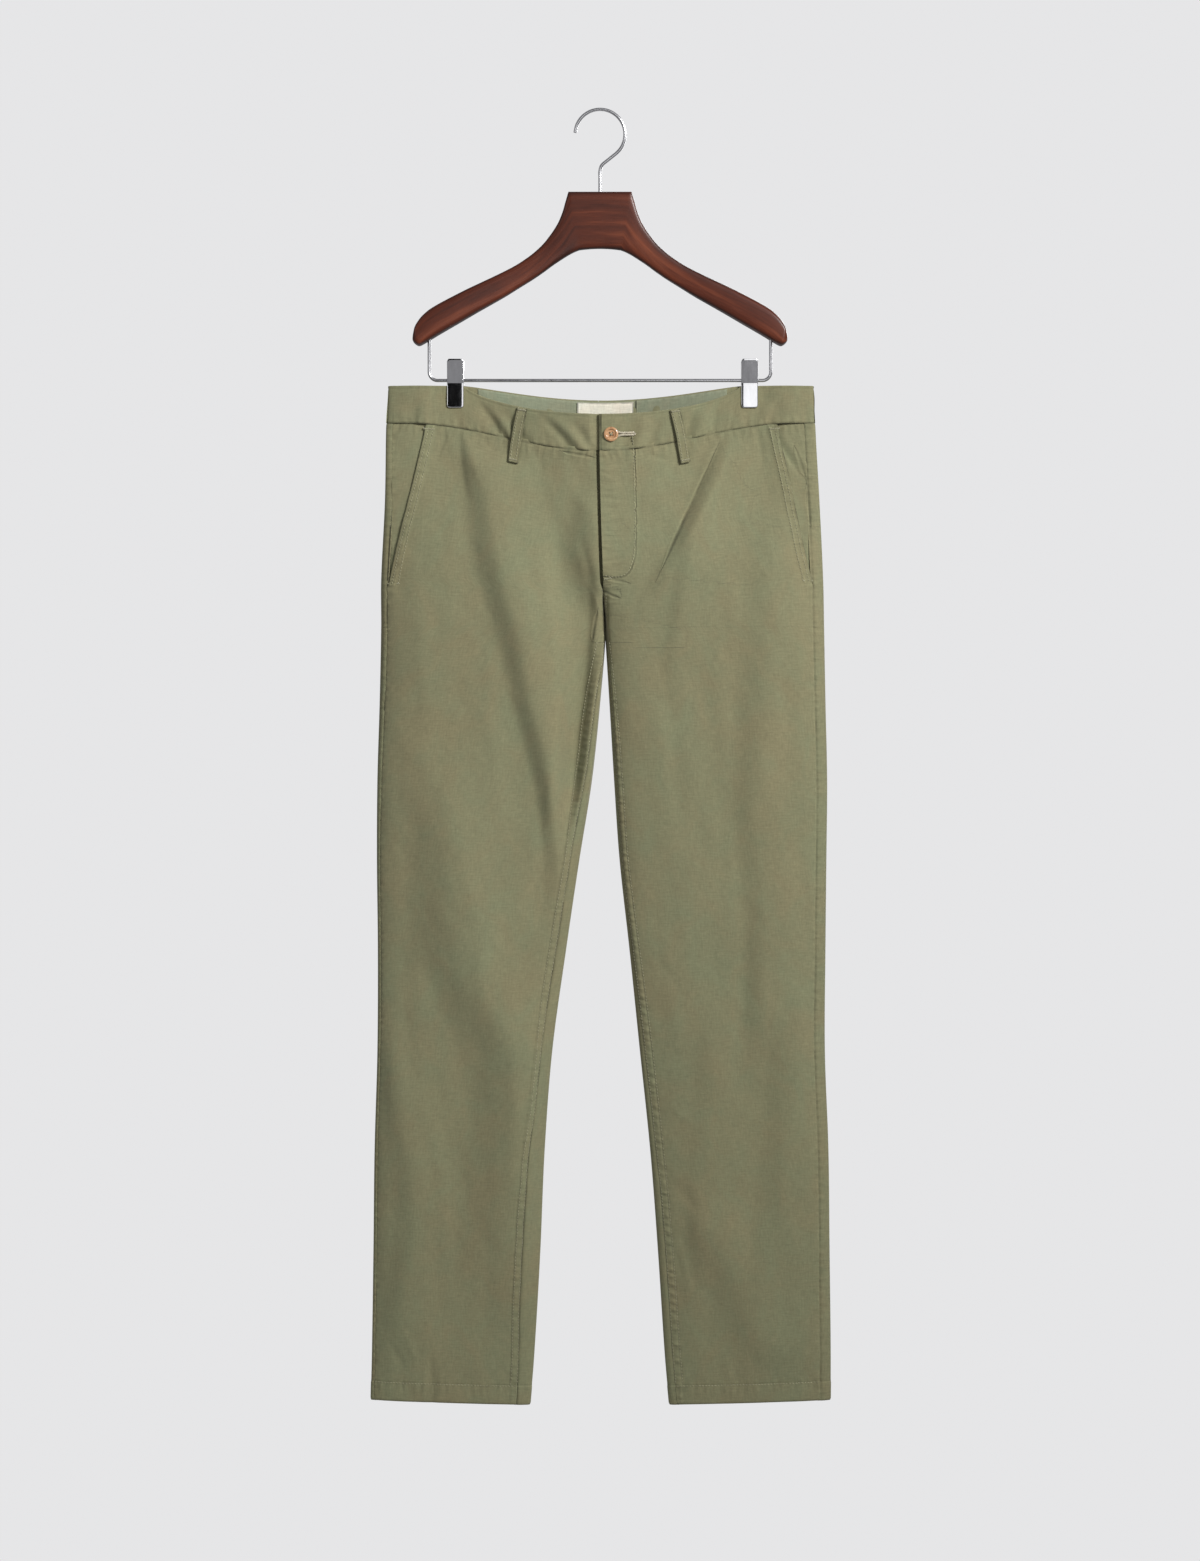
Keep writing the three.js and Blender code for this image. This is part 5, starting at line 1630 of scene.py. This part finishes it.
@dataclass
class Fly:
    """The strip behind the fly, its curved stitching, the buttonhole and the button."""

    skin: GarmentSkin
    finishes: Finishes
    button_x: float = 11.7
    button_drop: float = 22.5
    button_radius: float = 7.6
    holes_from_middle: float = 2.0
    first_hole: float = 53.0

    def shield(self) -> None:
        """The strip that closes the opening from behind."""
        rows = np.concatenate([np.linspace(37, 185, 70), np.linspace(185, 211, 18)[1:]])
        drop, share = np.meshgrid(rows, np.linspace(0, 1, 34), indexing="ij")
        left = np.clip((211 - drop) / 26, 0, 1)
        to = mix(8.0, 34.0, np.sqrt(1 - (1 - left) ** 2))
        x = mix(-9.0, to, share)
        inset = 3.9 + 1.2 * smooth(140, 211, drop) + 1.0 * (1 - smooth(39, 42, drop))
        inset = inset + 0.2 * uneven(x, drop, 15, 9)
        points = self.skin.across(Face.FRONT, x, drop, inset)
        marks = {Lines.UPRIGHT.value: np.full(x.shape, 0.5), Lines.LEVEL.value: np.zeros(x.shape)}
        piece = sheet_piece("fly_shield_cloth", points, 0.9, (0, -1, 0), self.finishes.chino, marks)
        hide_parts("fly_shield")

    def sew(self, stitcher: Stitcher) -> None:
        """The curved row, the tack at the opening's foot, and the seam's rows below and behind.

        Args:
            stitcher: sews the rows and the tack.
        """
        x, z = self.skin.form.fly_row(160).T
        stitcher.sew("fly_stitches", self.skin.on_front(x - 1.6, z + 0.8, 0.05), (0, -1, 0))
        ends = self.skin.on_front(np.array([4.6, 12.2]), np.array([-497.5, -496.0]), 0.3)
        stitcher.tack("fly_stitches", ends[0], ends[1], (0, -1, 0))
        form = self.skin.form
        drop = np.linspace(form.fly_bottom + 8, form.crotch_drop - 8, 30)
        x = form.centre(drop) + 3.2
        path = self.skin.place(Side.LEFT, -form.angle_of(Side.LEFT, x, drop), drop, 0.05)
        stitcher.sew("fly_stitches", path, (0, -1, 0))
        drop = np.linspace(form.band + 4, form.crotch_drop - 6, 120)
        for offset in (2.4, 8.0):
            x = form.centre(drop) + offset
            path = self.skin.place(Side.LEFT, form.angle_of(Side.LEFT, x, drop), drop, 0.05)
            stitcher.sew("seat_seam_stitches", path, (0, 1, 0))

    def seat(self) -> Array:
        """The middle of the button's back, in mm."""
        return self.skin.across(Face.FRONT, np.array(self.button_x), np.array(self.button_drop), 0.0)

    def button(self) -> None:
        """A rimmed disc with four thread holes: the height follows the radius and the nearest hole."""
        seat, rim = self.seat(), self.button_radius
        turn = np.linspace(0, 2 * math.pi, 73)[:-1]
        radii = np.concatenate([np.linspace(0.02, 0.95, 34), [0.985, 1.0, 1.0, 0.985]]) * rim
        base = np.concatenate([np.full(34, np.nan), [2.75, 2.25, 1.1, 0.55]])
        r, t = np.meshgrid(radii, turn, indexing="ij")
        u = r / rim
        high = 1.95 + 1.0 * smooth(0.56, 0.74, u) - 0.45 * smooth(0.84, 1.0, u)
        high = np.where(np.isnan(base)[:, None], high, base[:, None])
        px, pz = r * np.cos(t), r * np.sin(t)
        for k in range(4):
            at = math.radians(self.first_hole + 90 * k)
            hole_x, hole_z = self.holes_from_middle * math.cos(at), self.holes_from_middle * math.sin(at)
            away = np.hypot(px - hole_x, pz - hole_z)
            high = high - 1.7 * (1 - smooth(0.62, 1.0, away)) * np.isnan(base)[:, None]
        points = np.stack([seat[0] + px, seat[1] - 0.35 - high, seat[2] + pz], axis=-1)
        quads = grid_faces(len(radii), len(turn), False, True)
        flat = points.reshape(-1, 3) * MM
        quads = turned_out(flat, quads, np.array([0.0, -1.0, 0.0]))
        first = list(range(len(turn)))
        last = [(len(radii) - 1) * len(turn) + k for k in first]
        normal = np.cross(flat[quads[0][1]] - flat[quads[0][0]], flat[quads[0][3]] - flat[quads[0][0]])
        forward = normal[1] < 0
        ring = np.cross(flat[first[1]] - flat[first[0]], flat[first[2]] - flat[first[0]])
        faces_front = ring[1] < 0
        caps = [first, last[::-1]] if faces_front == forward else [first[::-1], last]
        piece = new_piece("waist_button_horn", flat, quads.tolist() + caps, self.finishes.horn)
        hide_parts("waist_button")
        tube = []
        for k in (0, 1):
            at = math.radians(self.first_hole + 90 * k)
            share = np.linspace(0, 1, 13)
            across = self.holes_from_middle * (1 - 2 * share)
            x, z = across * math.cos(at), across * math.sin(at)
            y = -0.35 - 1.1 - 1.3 * np.sin(share * math.pi) ** 0.35 - 0.35 * k * np.sin(share * math.pi)
            path = np.stack([seat[0] + x, seat[1] + y, seat[2] + z], axis=1)
            tube.append(sweep(path, 0.42, 8))
        for k, grid in enumerate(tube):
            rolled_piece(f"button_thread_{k + 1}", grid, self.finishes.thread)

    def buttonhole(self) -> None:
        """A keyhole buttonhole: dense pale stitches that lie across its edge, all the way round."""
        sewer = Stitcher(length=2.3, width=0.62, height=0.75, pitch=0.66)
        x0, x1 = self.button_x + 3.0, self.button_x + 24.5
        z0 = float(self.seat()[2]) + 0.2
        slope = np.array([0.0, 0.03])
        t = np.linspace(0, 1, 80)
        bulge = 1.15 + 1.1 * bell(t - 0.16, 0.12)
        upper = np.stack([mix(x0, x1, t), z0 + bulge + slope[1] * (mix(x0, x1, t) - x0)], axis=1)
        lower = np.stack([mix(x0, x1, t), z0 - bulge + slope[1] * (mix(x0, x1, t) - x0)], axis=1)
        for line in (upper, lower):
            path = self.skin.across(Face.FRONT, line[:, 0], self.drop_at(line[:, 0], line[:, 1]), -0.65)
            sewer.sew("buttonhole_stitches", path, (0, -1, 0), math.pi / 2)
        line = np.stack([np.full(8, x1 + 0.4), np.linspace(lower[-1, 1], upper[-1, 1], 8)], axis=1)
        path = self.skin.across(Face.FRONT, line[:, 0], self.drop_at(line[:, 0], line[:, 1]), -0.75)
        sewer.sew("buttonhole_stitches", path, (0, -1, 0), math.pi / 2)
        sewer.finish(self.finishes.pale_thread)

    def drop_at(self, x: Array, z: Array) -> Array:
        """The drop on the front's waistband at a height, by four passes."""
        form = self.skin.form
        drop = form.waist_top - z
        for _ in range(4):
            drop = form.waist_top - z - form.sag(-np.ones_like(x), x, drop)
        return drop

    def build(self) -> None:
        """Makes the fly's pieces."""
        self.shield()
        self.button()
        self.buttonhole()


# ---- the hanger ----

@dataclass
class TrouserHanger:
    """The wooden body, the hook, the bar and the two clips."""

    finishes: Finishes
    wire: float = 1.75
    bar_z: float = -285.7
    bar_reach: float = 181.0
    thick: float = 13.0
    upper: tuple = ((33.5, -85.9), (36.5, -96), (39.5, -107), (44, -118.5), (50.5, -129), (60, -141.5),
                    (72, -152.5), (88, -163.5), (104, -171.8), (122, -180.4), (140, -188.8), (156, -197),
                    (170, -204.4),
                    (181, -211), (189.5, -218.6), (195.6, -227.5), (199.4, -237.5))
    lower: tuple = ((22, -147.6), (27, -149.5), (33, -152.6), (41, -157.6), (50, -163.6), (59, -170.4),
                    (70, -178), (84, -186.6), (100, -196.6), (116, -205.6), (132, -214.6), (148, -224),
                    (162, -232),
                    (174, -239), (184, -245.2), (191, -249), (197.4, -248.6))

    def ribbon(self) -> tuple[Array, Array]:
        """The body's upper and lower edges, paired from one end to the other.

        Returns:
            The two edges, each as (stations, 2) with x and z.
        """
        upper, lower = np.array(self.upper), np.array(self.lower)
        t = np.linspace(0, 1, len(upper))
        fine = np.linspace(0, 1, 150)
        arm_up = np.stack([np.interp(fine, t, upper[:, k]) for k in range(2)], axis=1)
        arm_low = np.stack([np.interp(fine, t, lower[:, k]) for k in range(2)], axis=1)
        kernel = np.ones(7) / 7
        for arm in (arm_up, arm_low):
            for k in range(2):
                ends = arm[0, k], arm[-1, k]
                before, after = 2 * arm[0, k] - arm[3:0:-1, k], 2 * arm[-1, k] - arm[-2:-5:-1, k]
                padded = np.concatenate([before, arm[:, k], after])
                arm[:, k] = np.convolve(padded, kernel, mode="valid")
                arm[0, k], arm[-1, k] = ends
        s = np.linspace(0, 1, 14)[:-1]
        neck_up = np.stack([mix(0.0, arm_up[0, 0], s), np.full(13, arm_up[0, 1])], axis=1)
        neck_low = np.stack([mix(0.0, arm_low[0, 0], s), -146.0 - 1.6 * s ** 2], axis=1)
        up, low = np.concatenate([neck_up, arm_up]), np.concatenate([neck_low, arm_low])
        flip = np.array([-1.0, 1.0])
        return np.concatenate([up[:0:-1] * flip, up]), np.concatenate([low[:0:-1] * flip, low])

    def body(self) -> None:
        """The wood: a rounded section between the two edges, thin at the neck and thicker at the shoulders.

        The section is a superellipse, |across|^5 + |deep|^5 = 1: its faces are nearly flat, its edges soft.
        """
        up, low = self.ribbon()
        turn = np.linspace(0, 2 * math.pi, 41)[:-1]
        power = 2 / 5
        across = np.sign(np.cos(turn)) * np.abs(np.cos(turn)) ** power
        deep = np.sign(np.sin(turn)) * np.abs(np.sin(turn)) ** power
        x_mid, x_half = (up + low) / 2, (up - low) / 2
        ends = np.minimum(np.arange(len(up)), np.arange(len(up))[::-1])
        closing = np.sqrt(np.clip(1 - (1 - np.clip(ends / 9, 0, 1)) ** 2, 0.02, 1))
        reach = np.abs(x_mid[:, 0])
        half_thick = self.thick / 2 * (1 + 0.9 * smooth(50, 200, reach)) * mix(0.45, 1.0, closing)
        x = x_mid[None, :, 0] + across[:, None] * x_half[None, :, 0] * closing[None]
        z = x_mid[None, :, 1] + across[:, None] * x_half[None, :, 1] * closing[None]
        y = deep[:, None] * half_thick[None]
        points = np.stack([x, y, z], axis=-1)
        # Painted shade on the wood: strongest at the upper and lower edges of each section.
        edge_shade = np.broadcast_to(np.abs(across)[:, None] ** 6, x.shape)
        grid = points * MM
        along = np.concatenate([[0.0], np.cumsum(np.linalg.norm(np.diff(x_mid, axis=0), axis=1))]) * MM
        around = across[:, None] * np.linalg.norm(x_half, axis=1)[None] * MM
        uv = np.stack([np.broadcast_to(along, x.shape), around], axis=-1)
        quads = grid_faces(*x.shape, True, False)
        turned = turned_out(grid.reshape(-1, 3), quads, None)
        start = (np.arange(x.shape[0]) * x.shape[1]).tolist()
        end = [k + x.shape[1] - 1 for k in start]
        caps = [start, end[::-1]] if turned is quads else [start[::-1], end]
        piece = new_piece("hanger_body_wood", grid, turned.tolist() + caps, self.finishes.wood, uv,
                          {"edge_painted_shade": edge_shade})
        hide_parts("hanger_body")

    def hook(self) -> None:
        """The hook's wire: up from the wood, across, and round the bend."""
        bend = 26.5
        turn = np.radians(np.linspace(-42, 176, 120))
        arc = np.stack([bend * np.cos(turn), self.wire - bend + bend * np.sin(turn)], axis=1)
        stem = np.array([[0, -103.5], [0, -84], [0, -72], [0, -64], [2, -57.5], [9, -51.5]])
        nodes = np.concatenate([stem, arc[::12], arc[-1:]])
        path = self.smooth_path(nodes, 300)
        self.tube("hanger_hook_wire", path, "hanger_hook")

    def bar(self) -> None:
        """The bar's wire: down from one arm, across under the hanger, and up into the other."""
        reach, corner, z = self.bar_reach, 9.0, self.bar_z
        turn = np.linspace(0, math.pi / 2, 24)
        right = np.stack([reach - corner + corner * np.cos(turn), z + corner - corner * np.sin(turn)], axis=1)
        left = right * np.array([-1.0, 1.0])
        rise = np.linspace(-228.5, z + corner, 16)[:-1]
        up = np.stack([np.full(15, reach), rise], axis=1)
        flat = np.stack([np.linspace(reach - corner, corner - reach, 60)[1:-1], np.full(58, z)], axis=1)
        path = np.concatenate([up, right, flat, left[::-1], (up * np.array([-1.0, 1.0]))[::-1]])
        self.tube("hanger_bar_wire", path, "hanger_bar")

    def smooth_path(self, nodes: Array, count: int) -> Array:
        """A path through nodes by Catmull-Rom pieces: each blends its two nodes and their neighbours."""
        padded = np.concatenate([nodes[:1], nodes, nodes[-1:]])
        t = np.linspace(0, len(nodes) - 1 - 1e-9, count)
        i = t.astype(int)
        s = (t - i)[:, None]
        a, b, c, d = (padded[i + k] for k in range(4))
        square, cube = 2 * a - 5 * b + 4 * c - d, 3 * b - a - 3 * c + d
        return 0.5 * (2 * b + (c - a) * s + square * s ** 2 + cube * s ** 3)

    def tube(self, name: str, path: Array, node: str) -> None:
        """A wire along a path in the hanger's plane.

        Args:
            name: the piece's name.
            path: its x and z.
            node: the solid that it stands for.
        """
        full = np.stack([path[:, 0], np.zeros(len(path)), path[:, 1]], axis=1)
        piece = rolled_piece(name, sweep(full, self.wire, 18), self.finishes.wire)
        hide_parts(node)

    def plate(self, name: str, x: float, way: int, node: str) -> None:
        """A clip's plate: a rounded strip that grips the band and flares above the bar.

        Args:
            name: the piece's name.
            x: its middle.
            way: -1 for the front plate and 1 for the back one.
            node: the solid that it stands for.
        """
        z = np.concatenate([np.linspace(-314.8, -290, 16)[:-1], np.linspace(-290, -263.5, 20)])
        end = np.minimum(z + 314.8, -263.5 - z)
        corner = np.sqrt(np.clip(1 - (1 - np.clip(end / 2.0, 0, 1)) ** 2, 0.0, 1))
        flare = 4.2 * np.clip((z + 290) / 26.5, 0, 1)
        turn = np.linspace(0, 2 * math.pi, 25)[:-1]
        wide = np.sign(np.cos(turn)) * np.abs(np.cos(turn)) ** 0.25
        deep = np.sign(np.sin(turn)) * np.abs(np.sin(turn)) ** 0.4
        half = 8.75 - 1.6 * (1 - corner)
        points = np.stack(np.broadcast_arrays(
            x + wide[:, None] * half[None],
            way * (3.75 + flare[None] + deep[:, None] * 0.75),
            z[None],
        ), axis=-1)
        piece = rolled_piece(name, points, self.finishes.chrome)
        piece.data.shade_smooth()
        bevel = piece.modifiers.new("soft_edges", "BEVEL")
        bevel.width = 0.25 * MM
        bevel.segments = 2
        bevel.limit_method = "ANGLE"
        bevel.angle_limit = math.radians(50)
        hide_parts(node)

    def spring(self, name: str, x: float, node: str) -> None:
        """A clip's spring: a helix round the bar."""
        turn = np.linspace(0, 5 * 2 * math.pi, 200)
        y, z = 2.55 * np.cos(turn), self.bar_z + 2.55 * np.sin(turn)
        path = np.stack([x + np.linspace(-6, 6, 200), y, z], axis=1)
        tangent = np.gradient(path, axis=0)
        tangent /= np.linalg.norm(tangent, axis=1, keepdims=True)
        normal = np.stack([np.zeros(200), np.cos(turn), np.sin(turn)], axis=1)
        other = np.cross(tangent, normal)
        ring = np.linspace(0, 2 * math.pi, 9)[:-1][:, None, None]
        grid = path[None] + 0.5 * (np.cos(ring) * normal[None] + np.sin(ring) * other[None])
        piece = rolled_piece(name, grid, self.finishes.wire)
        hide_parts(node)

    def build(self) -> None:
        """Makes all of the hanger's pieces."""
        self.body()
        self.hook()
        self.bar()
        for side, x in ((Side.RIGHT, -153.2), (Side.LEFT, 158.5)):
            for face in Face:
                word = face.name.lower()
                node = f"clip_plate_{word}_{side.word}"
                self.plate(node + "_steel", x, face.value, node)
            self.spring(f"clip_spring_{side.word}_coil", x, f"clip_spring_{side.word}")


# ---- the studio ----

@dataclass
class Studio:
    """A pale floor, soft light from the wearer's left, two cards beside the lens, and the camera."""

    distance: float = 4.0
    pixel: float = 0.00106
    middle_z: float = (111 - 780.5) * 0.00106
    floor_z: float = -1.9
    ambient: float = 0.34

    def camera(self) -> None:
        """A level camera whose frame is 1200 by 1561 of the photograph's pixels at the hanger's plane."""
        data = bpy.data.cameras.new("camera")
        data.sensor_fit = "VERTICAL"
        data.sensor_height = 24.0
        data.lens = 24.0 * self.distance / (1561 * self.pixel)
        camera = bpy.data.objects.new("camera", data)
        camera.location = (0.0, -self.distance, self.middle_z)
        camera.rotation_euler = (math.pi / 2, 0.0, 0.0)
        bpy.context.scene.collection.objects.link(camera)
        bpy.context.scene.camera = camera

    def card(self, name: str, centre: tuple, size: tuple, colour: tuple, strength: float) -> bpy.types.Object:
        """An upright card that faces the object, or lies flat where its height is 0.

        Args:
            name: the card's name.
            centre: its middle.
            size: its width, and its height or depth.
            colour: its colour.
            strength: how much light it gives.

        Returns:
            The new stage object.
        """
        half_w, half_h = size[0] / 2, size[1] / 2
        flat = name == "floor"
        corners = np.array([[-half_w, -half_h], [half_w, -half_h], [half_w, half_h], [-half_w, half_h]])
        points = np.zeros((4, 3))
        points[:, 0] = corners[:, 0]
        points[:, 1 if flat else 2] = corners[:, 1]
        mesh = bpy.data.meshes.new(name)
        mesh.from_pydata((points + np.array(centre)).tolist(), [], [[0, 1, 2, 3]] if flat else [[3, 2, 1, 0]])
        bench = NodeBench(name)
        bench.sockets(Base_Color=(*colour, 1), Roughness=0.9, Emission_Color=(*colour, 1),
                      Emission_Strength=strength)
        mesh.materials.append(bench.material)
        card = bpy.data.objects.new(name, mesh)
        bpy.context.scene.collection.objects.link(card)
        return card

    def light(self, name: str, place: tuple, aim: tuple, size: float, power: float, spread: float) -> None:
        """A square soft light that points at a place and keeps its beam within a spread in degrees."""
        data = bpy.data.lights.new(name, "AREA")
        data.shape = "SQUARE"
        data.size = size
        data.energy = power
        data.spread = math.radians(spread)
        lamp = bpy.data.objects.new(name, data)
        lamp.location = place
        lamp.rotation_euler = (Vector(aim) - Vector(place)).to_track_quat("-Z", "Y").to_euler()
        bpy.context.scene.collection.objects.link(lamp)

    def build(self) -> None:
        """Sets the world, the floor, the cards, the lights and the camera."""
        world = bpy.data.worlds.new("pale_studio")
        world.use_nodes = True
        tree = world.node_tree
        seen = tree.nodes["Background"]
        seen.inputs["Color"].default_value = (0.79, 0.79, 0.80, 1)
        lit = tree.nodes.new("ShaderNodeBackground")
        lit.inputs["Color"].default_value = (0.80, 0.80, 0.82, 1)
        lit.inputs["Strength"].default_value = self.ambient
        path = tree.nodes.new("ShaderNodeLightPath")
        blend = tree.nodes.new("ShaderNodeMixShader")
        tree.links.new(path.outputs["Is Camera Ray"], blend.inputs[0])
        tree.links.new(lit.outputs[0], blend.inputs[1])
        tree.links.new(seen.outputs[0], blend.inputs[2])
        tree.links.new(blend.outputs[0], tree.nodes["World Output"].inputs["Surface"])
        bpy.context.scene.world = world
        bpy.context.scene.view_settings.view_transform = "Standard"
        self.card("floor", (0, 0, self.floor_z), (2.4, 2.4), (0.78, 0.78, 0.78), 0.0)
        dark = self.card("dark_card", (-0.85, -4.15, 0.6), (1.5, 3.2), (0.004, 0.004, 0.004), 0.0)
        pale = self.card("pale_card", (0.85, -4.15, 0.6), (1.5, 3.2), (1.0, 1.0, 1.0), 0.9)
        for card in (dark, pale):
            card.visible_camera = False
            card.visible_diffuse = False
            card.visible_shadow = False
        self.light("key", (2.3, -2.7, 1.15), (-0.12, 0.0, -0.40), 1.2, 14.8, 50.0)
        self.light("fill", (-1.8, -2.4, 0.4), (0.0, 0.0, -0.6), 1.2, 5.0, 180.0)
        self.light("rear", (1.2, 2.4, 0.6), (0.0, 0.0, -0.7), 1.4, 34.0, 180.0)
        self.camera()


def main() -> None:
    """Builds the trousers, the hanger and the studio in order."""
    logging.basicConfig(level=logging.INFO, format="%(message)s")
    finishes = Finishes.make()
    skin = GarmentSkin()
    stitcher = Stitcher()
    for side in Side:
        leg = Leg(side, skin, finishes)
        leg.build()
        leg.sew(stitcher)
    Waistband(skin, finishes).build(stitcher)
    fly = Fly(skin, finishes)
    fly.build()
    fly.sew(stitcher)
    stitcher.finish(finishes.thread)
    TrouserHanger(finishes).build()
    Studio().build()


if __name__ == "__main__":
    main()
